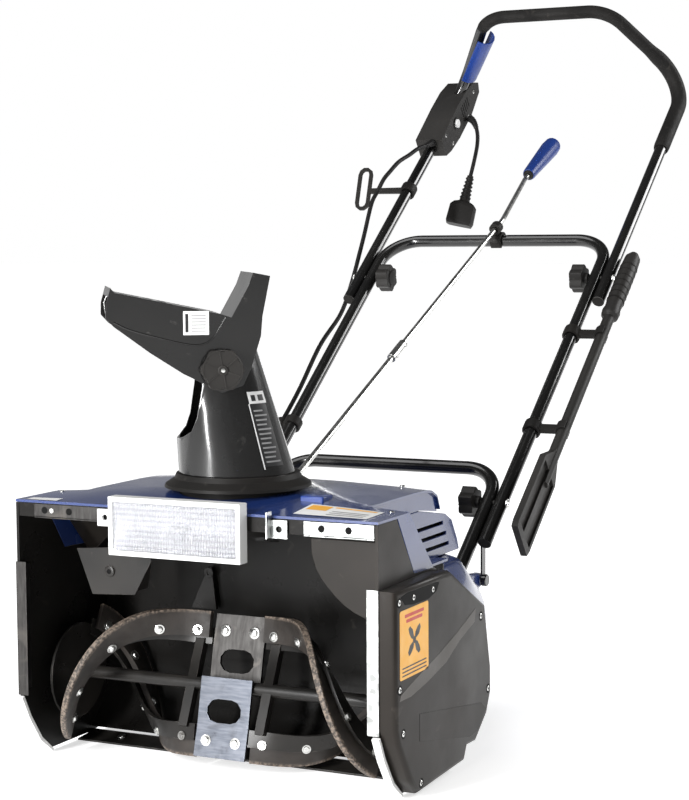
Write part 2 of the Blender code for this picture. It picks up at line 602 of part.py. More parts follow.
def make_wheels():
    rod("wheel_axle", (-0.1760, AXLE_Y, AXLE_Z), (0.1760, AXLE_Y, AXLE_Z), AXLE_R, BRIGHT_STEEL, 12)
    for side, word in ((1, "left"), (-1, "right")):
        half = 0.017
        profile = [(AXLE_R + 0.0004, -half), (0.016, -half), (0.018, -0.006), (0.046, -0.006), (0.048, -half),
                   (WHEEL_R - 0.004, -half), (WHEEL_R, -half + 0.005), (WHEEL_R, half - 0.005),
                   (WHEEL_R - 0.004, half), (0.048, half), (0.046, 0.006), (0.018, 0.006), (0.016, half),
                   (AXLE_R + 0.0004, half)]
        turn(f"wheel_{word}", profile, (side * WHEEL_X, AXLE_Y, AXLE_Z), (side, 0, 0), 20, RUBBER)


def gear_outline(teeth, root, tip, share, phase):
    """A gear's outline: tooth flanks that narrow from root to tip."""
    points = []
    pitch = 2 * pi / teeth
    for i in range(teeth):
        middle = phase + i * pitch
        for radius, offset in ((root, -0.5 * share * 1.25), (tip, -0.5 * share * 0.8),
                               (tip, 0.5 * share * 0.8), (root, 0.5 * share * 1.25)):
            angle = middle + offset * pitch
            points.append((radius * cos(angle), radius * sin(angle)))
    return points


def make_chute():
    """Turning base with its crown gear, the curved tube, the tilting deflector and its knob."""
    profile = [(NECK_BORE, 0.2850), (NECK_R, 0.2850), (NECK_R, 0.3184), (0.0880, 0.3184), (0.0880, 0.3212),
               (NECK_R, 0.3212), (NECK_R, 0.3395), (0.0890, 0.3395), (0.0880, 0.3430), (0.0770, 0.3500),
               (0.0745, 0.3560), (NECK_BORE, 0.3560)]
    base = turn("chute_base", profile, CHUTE, (0, 0, 1), 36, BLACK_PLASTIC, CHUTE)
    half_pitch = pi / RING_TEETH
    teeth = [(x, CHUTE.y + y) for x, y in gear_outline(RING_TEETH, 0.0740, 0.0860, 0.30, pi / 2 + half_pitch)]
    ring = prism("crown_teeth", teeth, 0.3120, 0.3190, BLACK_PLASTIC, axis=2)
    cut(ring, rod("teeth_bore", CHUTE + Vector((0, 0, 0.30)), CHUTE + Vector((0, 0, 0.33)), 0.0690,
                  BLACK_PLASTIC, 36))
    join(base, ring)
    make_chute_tube()
    make_deflector()


def chute_point(q, w, z):
    """q towards the discharge, w towards the near side, both from the chute's axis."""
    return CHUTE + q * DISCHARGE + w * NEAR_SIDE + Vector((0, 0, z))


def tube_section(t, inset):
    """A cross-section of the chute tube, t from 0 at its foot to 1 at its top."""
    z = 0.3564 + (0.5130 - 0.3564) * t
    back = -0.0690 + 0.0480 * t
    front = 0.0715 + 0.0080 * t
    half = 0.0665 - 0.0125 * t
    middle, reach = (front + back) / 2, (front - back) / 2 - inset
    points = []
    for i in range(20):
        angle = 2 * pi * i / 20
        points.append(chute_point(middle + reach * cos(angle), (half - inset) * sin(angle), z))
    return points


def make_chute_tube():
    levels = [0, 0.25, 0.5, 0.75, 1]
    body = build("chute_tube", *skin([tube_section(t, 0) for t in levels]), GLOSS_BLACK, CHUTE)
    hollow = [-0.06, 0.25, 0.5, 0.75, 1.06]
    cut(body, build("tube_hollow", *skin([tube_section(t, SHEET) for t in hollow]), GLOSS_BLACK))
    mouth = [(0.2, 0.395), (0.0700, 0.3990), (0.0590, 0.4090), (0.0530, 0.4250), (0.0470, 0.4620),
             (0.0440, 0.53), (0.2, 0.53)]
    start = chute_point(0, -0.09, 0)
    cut(body, framed_prism("tube_mouth", mouth, start, DISCHARGE, Vector((0, 0, 1)), 0.18 * NEAR_SIDE,
                           GLOSS_BLACK))
    cut(body, rod("pivot_hole", chute_point(TILT_Q, 0.04, TILT_Z), chute_point(TILT_Q, 0.08, TILT_Z),
                  STUD_R + 0.0004, GLOSS_BLACK, 10))
    join(body, rod("far_pivot", chute_point(TILT_Q, -0.0565, TILT_Z), chute_point(TILT_Q, -0.0660, TILT_Z),
                   STUD_R, GLOSS_BLACK, 10))


def make_deflector():
    """A hood open below and in front, with a hollow grip fin behind; it tilts on two side pivots."""
    outer = [(0.0520, 0.4700), (0.0700, 0.4790), (0.1084, 0.5040), (0.1500, 0.5350), (0.1590, 0.5450),
             (0.1585, 0.5600), (0.1530, 0.5800), (0.1480, 0.5740), (0.0900, 0.5615), (0.0250, 0.5480), (0.0130, 0.5440),
             (-0.0070, 0.5800), (-0.0130, 0.5960), (-0.0330, 0.5920), (-0.0235, 0.5450), (-0.0215, 0.5220),
             (-0.0100, 0.4850), (0.0, 0.4640), (0.0250, 0.4560)]
    width, wall = 0.0620, 0.0030
    pivot = chute_point(TILT_Q, 0, TILT_Z)
    hood = framed_prism("deflector", outer, chute_point(0, -width, 0), DISCHARGE, Vector((0, 0, 1)),
                        2 * width * NEAR_SIDE, GLOSS_BLACK, pivot)
    inner = [(0.2, 0.40), (0.2, 0.5500), (0.1550, 0.5700), (0.1480, 0.5705), (0.0900, 0.5580), (0.0240, 0.5448),
             (0.0110, 0.5390), (-0.0093, 0.5788), (-0.0147, 0.5920), (-0.0300, 0.5890), (-0.0208, 0.5445),
             (-0.0188, 0.5200), (-0.0190, 0.5150), (-0.0300, 0.5000), (-0.0300, 0.40)]
    cut(hood, framed_prism("hood_hollow", inner, chute_point(0, -width + wall, 0), DISCHARGE, Vector((0, 0, 1)),
                           2 * (width - wall) * NEAR_SIDE, GLOSS_BLACK))
    cut(hood, rod("pivot_holes", chute_point(TILT_Q, -0.08, TILT_Z), chute_point(TILT_Q, 0.08, TILT_Z),
                  STUD_R + 0.0004, GLOSS_BLACK, 10))
    knob_points = 40
    outline = []
    for i in range(knob_points):
        angle = 2 * pi * i / knob_points
        radius = 0.0235 + 0.0022 * cos(6 * angle)
        outline.append((radius * cos(angle), radius * sin(angle)))
    base = chute_point(TILT_Q, width + 0.0005, TILT_Z)
    knob = framed_prism("deflector_knob", outline, base, DISCHARGE, Vector((0, 0, 1)), 0.016 * NEAR_SIDE,
                        BLACK_PLASTIC, base)
    join(knob, rod("pivot_stud", base + 0.008 * NEAR_SIDE, base - 0.013 * NEAR_SIDE, STUD_R, BLACK_PLASTIC, 10))


def handle_frame(name, half, top_s, end_s, finish, bend=0.055):
    """A U of tube in the handle plane: its crossbar at top_s and its legs down to end_s."""
    corners = [on_handle(-half, end_s), on_handle(-half, top_s), on_handle(half, top_s), on_handle(half, end_s)]
    frame = tube(name, rounded(corners, bend), TUBE_R, finish, TUBE_BORE)
    return frame


def stud_hole(s):
    return rod("stud_hole", on_handle(-0.3, s), on_handle(0.3, s), STUD_R + 0.0004, BLACK_PAINT, 10)


UPPER_CORNERS = [on_handle(-UPPER_X, 0.427), (-0.1080, 0.9305, 1.0050), (0.1080, 0.9305, 1.0050),
                 on_handle(UPPER_X, 0.427)]


def upper_path(steps=5):
    """The upper frame: straight legs, then the top bent up and inwards."""
    foot, end = on_handle(-UPPER_X, UPPER_END_S), on_handle(UPPER_X, UPPER_END_S)
    return rounded([foot, *UPPER_CORNERS, end], 0.060, steps)


def with_stations(path, lengths):
    """The path with a point added at each of these lengths along it, and every point's length."""
    points, places, run = [path[0]], [0.0], 0.0
    wanted = sorted(lengths)
    for a, b in zip(path, path[1:]):
        step = (b - a).length
        for length in wanted:
            if run + 1e-6 < length < run + step - 1e-6:
                points.append(a.lerp(b, (length - run) / step))
                places.append(length)
        run += step
        points.append(b)
        places.append(run)
    return points, places


def make_frames():
    middle = handle_frame("middle_frame", MIDDLE_X, 0, MIDDLE_END_S, BLACK_PAINT)
    cut(middle, stud_hole(KNOB_UPPER_S), stud_hole(KNOB_LOWER_S))
    lower = handle_frame("lower_frame", LOWER_X, -0.515, -0.765, BLACK_PAINT, 0.050)
    cut(lower, stud_hole(KNOB_LOWER_S))
    for side in (-1, 1):
        low, high = sorted((side * 0.1660, side * 0.1690))
        top, boss = on_handle(0, -0.600), Vector((0, 0.2386, 0.1749))
        along = (boss - top).normalized()
        across = Vector((0, -along.z, along.y)) * 0.006
        strap = [top - across, top + across, boss + across + along * 0.006, boss - across + along * 0.006]
        join(lower, prism("brace_strap", [(p.y, p.z) for p in strap], low, high, BLACK_PAINT))
        join(lower, rod("brace_boss", (side * 0.1675, boss.y, boss.z), (side * 0.1740, boss.y, boss.z), 0.0085,
                        BLACK_PAINT, 12))
    pivot = on_handle(0, KNOB_UPPER_S)
    upper = tube("upper_frame", upper_path(), TUBE_R, BLACK_PAINT, TUBE_BORE, origin=pivot)
    cut(upper, stud_hole(KNOB_UPPER_S))


def make_grip():
    """The foam sleeve: thick from the left leg round the first bend, thinner over the top bar."""
    total = sum((b - a).length for a, b in zip(upper_path(), upper_path()[1:]))
    thick, thin = 0.0128, 0.0112
    first, slim, last = 0.712, total - 0.640, total - 0.390
    path, places = with_stations(upper_path(), [first, slim - 0.05, slim, last])
    radii = [thick if place > slim + 1e-6 else thin for place in places]
    keep = [i for i, place in enumerate(places) if first - 1e-6 < place < last + 1e-6]
    tube("handle_grip", path, radii, RUBBER, 0.0098, origin=on_handle(0, KNOB_UPPER_S),
         part=(keep[0], keep[-1] + 1))


SWITCH_X, SWITCH_HALF = -0.2068, 0.0247
SWITCH_SIDE = [(0.262, -0.016), (0.262, 0.0180), (0.300, 0.0200), (0.350, 0.0230), (0.400, 0.0230),
               (0.440, 0.0160), (0.458, 0.0040), (0.452, -0.012), (0.400, -0.024), (0.330, -0.026),
               (0.285, -0.022)]


def make_switch():
    """Switch box round the right leg, its squeeze lever and the safety button."""
    pivot = on_handle(0, KNOB_UPPER_S)
    base = on_handle(SWITCH_X - SWITCH_HALF, 0)
    box = framed_prism("switch_box", SWITCH_SIDE, base, ALONG, ACROSS, Vector((2 * SWITCH_HALF, 0, 0)),
                       BLACK_PLASTIC, pivot)
    path, places = with_stations(upper_path(), [0.36, 0.68])
    keep = [i for i, place in enumerate(places) if 0.36 - 1e-6 < place < 0.68 + 1e-6]
    cut(box, tube("box_channel", path, 0.0101, BLACK_PLASTIC, part=(keep[0], keep[-1] + 1)))
    face = SWITCH_X + SWITCH_HALF
    button = on_handle(face, 0.330, 0.004)
    cut(box, rod("button_well", button - Vector((0.0090, 0, 0)), button + Vector((0.01, 0, 0)), 0.0080,
                 BLACK_PLASTIC, 16))
    rod("safety_button", button - Vector((0.0045, 0, 0)), button + Vector((0.0050, 0, 0)), 0.0075,
        WHITE_PLASTIC, 16, button)
    make_lever()


LEVER_SECTIONS = ((0.592, 0.0145, 0.001), (0.615, 0.0150, 0.0025), (0.650, 0.0160, 0.0045), (0.700, 0.0165, 0.0080))
LEVER_FACING = Vector((0.85, 0.05, -0.60))


def make_lever():
    """A saddle over the inner side of the bent tube, hinged at its lower end: (length, radius, lift)."""
    path, places = with_stations(upper_path(), [length for length, _, _ in LEVER_SECTIONS])
    rings, hinge = [], None
    for length, radius, lift in LEVER_SECTIONS:
        i = min(range(len(places)), key=lambda k: abs(places[k] - length))
        ahead = (path[i + 1] - path[i - 1]).normalized()
        middle = (LEVER_FACING - LEVER_FACING.dot(ahead) * ahead).normalized()
        side = ahead.cross(middle)
        centre = path[i] + middle * lift
        hinge = hinge or path[i] + middle * radius
        outer, inside = [], []
        for k in range(9):
            angle = radians(-90 + 180 * k / 8)
            ray = cos(angle) * middle + sin(angle) * side
            outer.append(centre + ray * (radius + 0.0024))
            inside.append(centre + ray * radius)
        rings.append(outer + inside[::-1])
    build("switch_lever", *skin(rings), BLUE_PLASTIC, hinge)


def make_hook():
    """Cord hook on the right leg: a clamp, an arm and a long open loop."""
    centre = on_handle(-UPPER_X, 0.140)
    clamp = [(TUBE_R + 0.0005, -0.008), (0.0135, -0.008), (0.0135, 0.008), (TUBE_R + 0.0005, 0.008)]
    hook = turn("cord_hook", clamp, centre, ALONG, 16, BLACK_PLASTIC, on_handle(0, KNOB_UPPER_S))
    up = Vector((0, 0.300, 0.954)).normalized()
    through = Vector((1, 0, 0)).cross(up) * 0.005
    arm = [(-0.0120, -0.005), (-0.0120, 0.005), (-0.0740, 0.0045), (-0.0740, -0.0045)]
    join(hook, framed_prism("hook_arm", arm, centre - through / 2, Vector((1, 0, 0)), up, through,
                            BLACK_PLASTIC))
    middle = centre + Vector((-0.0830, 0, 0)) + 0.004 * up
    loop = framed_prism("hook_loop", stadium(0.0380, 0.0130), middle - through / 2, up, Vector((1, 0, 0)),
                        through, BLACK_PLASTIC)
    eye = framed_prism("hook_eye", stadium(0.0320, 0.0072), middle - through, up, Vector((1, 0, 0)),
                       2 * through, BLACK_PLASTIC)
    cut(loop, eye)
    join(hook, loop)


CABLE_R = 0.0035
CABLE_UPPER = [(-0.2000, 0.9144, 0.7974), (-0.2010, 0.8980, 0.7930), (-0.2065, 0.8700, 0.7860),
               (-0.2075, 0.8350, 0.7740), (-0.2090, 0.7950, 0.7610), (-0.2120, 0.7640, 0.7430),
               (-0.2160, 0.7503, 0.7312), (-0.2240, 0.7436, 0.7117), (-0.2300, 0.7328, 0.6915),
               (-0.2320, 0.7098, 0.6431), (-0.2320, 0.6940, 0.6162)]
CABLE_LOWER = [(-0.2320, 0.6934, 0.6152), (-0.2320, 0.6610, 0.5640), (-0.2310, 0.6180, 0.5150),
               (-0.2240, 0.5300, 0.4690), (-0.2130, 0.4400, 0.4090), (-0.2065, 0.3664, 0.3627),
               (-0.2085, 0.3100, 0.3190), (-0.2105, 0.2600, 0.2790), (-0.2100, 0.2150, 0.2450),
               (-0.2040, 0.1790, 0.2190), (-0.1965, 0.1500, 0.1995), (-0.1900, 0.1250, 0.1840)]
CORD_EXIT = Vector((-0.1812, 1.0234, 0.8479))
CORD_HEADING = Vector((0.75, 0.10, -0.65)).normalized()
PLUG_TOP = Vector((-0.1640, 0.9980, 0.7419))
PLUG_END = Vector((-0.1780, 0.9746, 0.6514))


def make_cables():
    cable("motor_cable_upper", curve_through(CABLE_UPPER, 20), CABLE_R, BLACK_PLASTIC)
    cable("motor_cable_lower", curve_through(CABLE_LOWER, 22), CABLE_R, BLACK_PLASTIC)
    pivot = on_handle(0, KNOB_UPPER_S)
    bore = CABLE_R + 0.0011
    collar = [(bore, 0), (0.0074, 0), (0.0074, 0.003), (0.0062, 0.0095), (bore, 0.0095)]
    turn("strain_relief", collar, CORD_EXIT + 0.0062 * CORD_HEADING, CORD_HEADING, 14, BLACK_PLASTIC, pivot)
    down = (PLUG_END - PLUG_TOP).normalized()
    route = [CORD_EXIT + 0.0040 * CORD_HEADING, CORD_EXIT + 0.0160 * CORD_HEADING, (-0.1610, 1.0215, 0.8200),
             (-0.1580, 1.0150, 0.7980), (-0.1595, 1.0050, 0.7700), PLUG_TOP + 0.004 * down]
    cable("power_cord", curve_through(route, 20), CABLE_R, BLACK_PLASTIC)
    level, across = basis(down)
    level = (Vector((1, 0.25, 0)) - Vector((1, 0.25, 0)).dot(down) * down).normalized()
    across = down.cross(level)
    rings = []
    for reach, a, b in ((0, 0.0055, 0.0055), (0.022, 0.0062, 0.0062), (0.046, 0.0095, 0.0090),
                        (0.050, 0.0180, 0.0130), (0.056, 0.0235, 0.0160), (0.084, 0.0245, 0.0165),
                        (0.0895, 0.0225, 0.0145)):
        ring = []
        for i in range(16):
            angle = 2 * pi * i / 16
            u, v = cos(angle), sin(angle)
            square = 1 / max(abs(u), abs(v)) if reach > 0.048 else 1
            square = 1 + (square - 1) * 0.6
            ring.append(PLUG_TOP + reach * down + level * (a * u * square) + across * (b * v * square))
        rings.append(ring)
    plug = build("plug", *skin(rings), BLACK_PLASTIC, pivot)
    cut(plug, rod("plug_bore", PLUG_TOP - 0.002 * down, PLUG_TOP + 0.006 * down, CABLE_R + 0.0005,
                  BLACK_PLASTIC))


def ring_clip(name, centre, direction, bore, wall, length, finish):
    """A short sleeve round a tube."""
    profile = [(bore, -length / 2), (bore + wall, -length / 2), (bore + wall, length / 2), (bore, length / 2)]
    return turn(name, profile, centre, direction, 14, finish)


def make_clips():
    """Cable clip, tool clips and the crank's eye, all on the middle frame."""
    leg = on_handle(-MIDDLE_X, -0.440)
    clip = ring_clip("cable_clip", leg, ALONG, TUBE_R + 0.0006, 0.0035, 0.012, BLACK_PLASTIC)
    join(clip, ring_clip("cable_ring", leg + Vector((-0.0195, 0, 0)), ALONG, CABLE_R + 0.0008, 0.0035, 0.0110,
                         BLACK_PLASTIC))
    for word, s in (("upper", -0.225), ("lower", -0.430)):
        leg = on_handle(MIDDLE_X, s)
        clip = ring_clip(f"tool_clip_{word}", leg, ALONG, TUBE_R + 0.0006, 0.0032, 0.016, BLACK_PLASTIC)
        bore, outer, lip = TOOL_R + 0.0006, TOOL_R + 0.0034, 0.0045
        reach = TOOL_X - MIDDLE_X
        turns = [radians(90 + 180 * i / 8) for i in range(9)]
        saddle = [(reach + lip, outer)] + [(reach + outer * cos(a), outer * sin(a)) for a in turns]
        saddle += [(reach + lip, -outer), (reach + lip, -bore)]
        saddle += [(reach + bore * cos(a), bore * sin(a)) for a in reversed(turns)] + [(reach + lip, bore)]
        start = leg - 0.0075 * ALONG
        join(clip, framed_prism("tool_saddle", saddle, start, Vector((1, 0, 0)), ACROSS, 0.015 * ALONG,
                                BLACK_PLASTIC))
        arm = [(0.0118, -0.0040), (reach - bore - 0.0010, -0.0040), (reach - bore - 0.0010, 0.0040),
               (0.0118, 0.0040)]
        join(clip, framed_prism("clip_arm", arm, leg - 0.0060 * ALONG, Vector((1, 0, 0)), ACROSS,
                                0.012 * ALONG, BLACK_PLASTIC))
    bar = (CROSSBAR.y, CROSSBAR.z)
    saddle = arc(bar, 0.0142, -5, 235, 12) + arc(bar, TUBE_R + 0.0006, 235, -5, 12)
    eye = prism("crank_eye", saddle, -0.0090, 0.0090, BLACK_PLASTIC)
    meet = PINION + (CROSSBAR - PINION).dot(ROD) * ROD
    join(eye, ring_clip("eye_ring", meet, ROD, ROD_R + 0.0012, 0.0045, 0.0130, BLACK_PLASTIC))


GRIP_SHIFT = Vector((-0.0620, 0, 0)) + 0.0440 * Vector((0, sin(ROD_SLOPE), -cos(ROD_SLOPE)))
SLEEVE_AT, SLEEVE_LENGTH = 0.3930, 0.0450
GRIP_AT, GRIP_LENGTH = 1.148, 0.140


def make_crank():
    """Lower rod with its pinion, upper rod with the joining sleeve and the oblique arm, and the grip."""
    lower = rod("crank_rod_lower", PINION - 0.004 * ROD, PINION + (SLEEVE_AT + 0.0215) * ROD, ROD_R,
                BRIGHT_STEEL, 10, PINION)
    up = Vector((0, -sin(ROD_SLOPE), cos(ROD_SLOPE)))
    teeth = gear_outline(PINION_TEETH, 0.0085, 0.0157, 0.42, pi / 2)
    join(lower, framed_prism("pinion", teeth, PINION - 0.0030 * ROD, Vector((1, 0, 0)), up, 0.0060 * ROD,
                             BLACK_PLASTIC))
    profile = [(0, 0.0225), (ROD_R + 0.0004, 0.0225), (ROD_R + 0.0004, 0), (0.0066, 0),
               (0.0066, SLEEVE_LENGTH), (0, SLEEVE_LENGTH)]
    upper = turn("crank_rod_upper", profile, PINION + SLEEVE_AT * ROD, ROD, 12, BRIGHT_STEEL, PINION)
    corners = [PINION + (SLEEVE_AT + 0.040) * ROD, PINION + 0.862 * ROD,
               PINION + (GRIP_AT - 0.018) * ROD + GRIP_SHIFT, PINION + (GRIP_AT + GRIP_LENGTH - 0.012) * ROD + GRIP_SHIFT]
    join(upper, tube("oblique_arm", rounded(corners, 0.030, 4), ROD_R, BRIGHT_STEEL, sides=10))
    bore = ROD_R + 0.0005
    profile = [(bore, 0), (0.0100, 0), (0.0112, 0.004), (0.0125, 0.030), (0.0160, 0.115), (0.0150, 0.132),
               (0.0090, GRIP_LENGTH), (0, GRIP_LENGTH), (0, 0.132), (bore, 0.132)]
    turn("crank_grip", profile, PINION + GRIP_AT * ROD + GRIP_SHIFT, ROD, 18, BLUE_PLASTIC)


def make_tool():
    """The clean-out tool: grip, guard, shaft and a folded paddle."""
    start = on_handle(TOOL_X, -0.640)
    profile = [(0, 0.10), (TOOL_R, 0.10), (TOOL_R, 0.452), (0.0130, 0.456), (0.0138, 0.466), (0.0120, 0.474),
               (0.0132, 0.500), (0.0134, 0.560), (0.0120, 0.592), (0.0070, 0.602), (0, 0.602)]
    tool = turn("clean_out_tool", profile, start, ALONG, 14, BLACK_PLASTIC)
    outline = [(0.0, -0.028), (0.010, -0.031), (0.135, -0.030), (0.160, -0.012), (0.172, -0.006),
               (0.172, 0.006), (0.160, 0.012), (0.135, 0.030), (0.010, 0.031), (0.0, 0.028)]
    blade = framed_prism("tool_blade", outline, on_handle(TOOL_X - 0.0045, -0.647), ALONG, ACROSS,
                         Vector((0.009, 0, 0)), BLACK_PLASTIC)
    join(tool, blade)
    for side in (-1, 1):
        pocket = [(0.012, side * 0.006), (0.130, side * 0.006), (0.130, side * 0.025), (0.012, side * 0.025)]
        cut(tool, framed_prism("blade_pocket", pocket, on_handle(TOOL_X + 0.0010, -0.647), ALONG, ACROSS,
                               Vector((0.01, 0, 0)), BLACK_PLASTIC))


def make_knobs():
    """Four clamp knobs, each with its own stud through both tubes."""
    for s, place, reach, start in ((KNOB_UPPER_S, "upper", UPPER_X, MIDDLE_X), (KNOB_LOWER_S, "lower", MIDDLE_X, LOWER_X)):
        for side, word in ((1, "left"), (-1, "right")):
            face = start - TUBE_R - 0.0060
            points = []
            for i in range(24):
                angle = 2 * pi * i / 24
                radius = 0.0195 + 0.0025 * cos(6 * angle)
                points.append((radius * cos(angle), radius * sin(angle)))
            base = on_handle(side * face, s)
            knob = framed_prism(f"knob_{place}_{word}", points, base, ALONG, ACROSS, Vector((-side * 0.020, 0, 0)),
                                BLACK_PLASTIC, base)
            stud = rod("stud", base - Vector((side * 0.01, 0, 0)), on_handle(side * (reach + TUBE_R + 0.002), s),
                       STUD_R, BRIGHT_STEEL, 10)
            collar = rod("collar", base - Vector((side * 0.005, 0, 0)), base + Vector((side * 0.0055, 0, 0)),
                         0.0085, BLACK_PLASTIC, 12)
            join(knob, collar, stud)


def main():
    for old in list(bpy.data.objects):
        bpy.data.objects.remove(old)
    make_scoop()
    make_side_plates()
    make_front_trim()
    make_deck()
    make_rear_shell()
    make_motor_cover()
    make_belt_cover()
    make_lamp()
    make_drive()
    make_auger()
    make_wheels()
    make_chute()
    make_frames()
    make_grip()
    make_switch()
    make_hook()
    make_cables()
    make_clips()
    make_crank()
    make_tool()
    make_knobs()
    for made in bpy.data.objects:
        made.location.y += FRAME_Y


main()
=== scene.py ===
"""Looks of a single-stage electric snow thrower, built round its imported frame, in metres.

Shapes are written as the part draws them and moved back by FRAME_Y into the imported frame. The points
given to mm() are in millimetres.
"""

import json
from math import cos, pi, radians, sin

import bmesh
import bpy
from mathutils import Matrix, Vector

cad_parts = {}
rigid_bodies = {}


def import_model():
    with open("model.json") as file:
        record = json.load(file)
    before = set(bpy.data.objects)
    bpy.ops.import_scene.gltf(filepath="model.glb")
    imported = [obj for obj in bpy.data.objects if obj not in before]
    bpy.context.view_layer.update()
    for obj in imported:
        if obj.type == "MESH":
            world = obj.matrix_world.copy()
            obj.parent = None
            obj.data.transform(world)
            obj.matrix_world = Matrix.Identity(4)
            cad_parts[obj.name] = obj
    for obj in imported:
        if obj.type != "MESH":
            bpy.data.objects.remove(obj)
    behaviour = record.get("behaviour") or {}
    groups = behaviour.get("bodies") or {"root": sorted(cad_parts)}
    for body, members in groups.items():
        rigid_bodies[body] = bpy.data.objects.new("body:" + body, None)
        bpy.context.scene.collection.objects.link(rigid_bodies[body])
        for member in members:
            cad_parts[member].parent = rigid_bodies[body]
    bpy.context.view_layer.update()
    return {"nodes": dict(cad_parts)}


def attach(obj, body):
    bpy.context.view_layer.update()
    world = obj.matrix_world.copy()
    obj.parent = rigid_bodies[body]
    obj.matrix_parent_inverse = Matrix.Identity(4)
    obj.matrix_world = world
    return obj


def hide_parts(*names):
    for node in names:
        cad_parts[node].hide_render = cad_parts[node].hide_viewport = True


for old in list(bpy.data.objects):
    bpy.data.objects.remove(old)
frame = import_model()
nodes = frame["nodes"]

FRAME_Y = 0.1175
SHIFT = Vector((0, FRAME_Y, 0))

# ---------------------------------------------------------------- sizes shared with the part
HALF_WIDTH = 0.242
FRONT_Y = -0.25
SHAFT = Vector((0, -0.155, 0.097))
UPPER_PHASE, LOWER_PHASE = 102, -78
BAND_START, BAND_REACH, BAND_TURN, BAND_MID_R = 0.0375, 0.169, 165, 0.064
AXLE = Vector((0, 0.146, 0.07))
WHEEL_X = 0.15
SLOPE = radians(37.3)
ALONG = Vector((0, cos(SLOPE), sin(SLOPE)))
ACROSS = Vector((0, -sin(SLOPE), cos(SLOPE)))
CROSSBAR = Vector((0, 0.7164, 0.6293))
LOWER_X, MIDDLE_X, UPPER_X = 0.1675, 0.187, 0.2065
KNOB_UPPER_S, KNOB_LOWER_S = -0.095, -0.58
CHUTE = Vector((0, -0.1315, 0))
FACING = radians(54)
DISCHARGE = Vector((-sin(FACING), -cos(FACING), 0))
NEAR_SIDE = Vector((cos(FACING), -sin(FACING), 0))
TILT_Q, TILT_Z = 0.0255, 0.4835
PINION = Vector((0, -0.0475, 0.302))
ROD_SLOPE = radians(24.72)
ROD = Vector((0, cos(ROD_SLOPE), sin(ROD_SLOPE)))
CABLE_R = 0.0035
X_AXIS, Y_AXIS, Z_AXIS = Vector((1, 0, 0)), Vector((0, 1, 0)), Vector((0, 0, 1))
SIDES = ((1, "left"), (-1, "right"))
PRINT, WASHER = 0.0002, 1.45


# ---------------------------------------------------------------- shapes
def on_handle(x, s, h=0.0):
    """A point of the handle plane: s along the slope from the middle crossbar, h above the plane."""
    return Vector((x, 0, 0)) + CROSSBAR + s * ALONG + h * ACROSS


def chute_point(q, w, z):
    """q towards the discharge, w towards the near side, both from the chute's axis."""
    return CHUTE + q * DISCHARGE + w * NEAR_SIDE + Vector((0, 0, z))


def rounded(corners, radius, steps=10):
    """A polyline whose inner corners are replaced by arcs of the given radius."""
    corners = [Vector(c) for c in corners]
    path = [corners[0]]
    for before, corner, after in zip(corners, corners[1:], corners[2:]):
        a, b = (before - corner).normalized(), (after - corner).normalized()
        half = a.angle(b) / 2
        reach = radius / (sin(half) / cos(half))
        middle = corner + (a + b).normalized() * (radius / sin(half))
        first, last = corner + a * reach - middle, corner + b * reach - middle
        sweep = first.angle(last)
        for i in range(steps + 1):
            t = i / steps
            path.append(middle + (sin((1 - t) * sweep) * first + sin(t * sweep) * last) / sin(sweep))
    path.append(corners[-1])
    return path


def spaced(path, count, start=0.0, end=None):
    """Evenly spaced points of a path, from one length along it to another."""
    places = [0.0]
    for a, b in zip(path, path[1:]):
        places.append(places[-1] + (b - a).length)
    end = places[-1] if end is None else end
    points, j = [], 0
    for i in range(count + 1):
        target = start + (end - start) * i / count
        while j < len(path) - 2 and places[j + 1] < target:
            j += 1
        t = (target - places[j]) / (places[j + 1] - places[j])
        points.append(path[j].lerp(path[j + 1], min(max(t, 0), 1)))
    return points


def curve_through(points, count):
    """Points spaced along a smooth Catmull-Rom curve through the route."""
    points = [Vector(p) for p in points]
    ends = [2 * points[0] - points[1], *points, 2 * points[-1] - points[-2]]
    fine = []
    for p0, p1, p2, p3 in zip(ends, ends[1:], ends[2:], ends[3:]):
        for i in range(12):
            t = i / 12
            fine.append(0.5 * (2 * p1 + (p2 - p0) * t + (2 * p0 - 5 * p1 + 4 * p2 - p3) * t * t
                               + (3 * p1 - p0 - 3 * p2 + p3) * t ** 3))
    return spaced([*fine, points[-1]], count - 1)


def mm(points):
    """Points given in millimetres."""
    return [tuple(value / 1000 for value in point) for point in points]


def length_of(path):
    return sum((b - a).length for a, b in zip(path, path[1:]))


def between(path, start, end, step):
    """The stretch of a path from one length to another, in even short steps."""
    return spaced(path, max(2, round((end - start) / step)), start, end)


def basis(direction):
    """Two unit vectors across a direction; the first is level."""
    level = Z_AXIS.cross(direction)
    if level.length < 1e-6:
        level = X_AXIS.copy()
    level.normalize()
    return level, direction.cross(level).normalized()


def placed(name, data):
    """A new object in the scene."""
    made = bpy.data.objects.new(name, data)
    bpy.context.scene.collection.objects.link(made)
    return made


def assign(made, body, replaces):
    """Puts a piece on its body and hides the nodes it stands for."""
    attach(made, body)
    if replaces:
        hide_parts(*replaces)
    return made


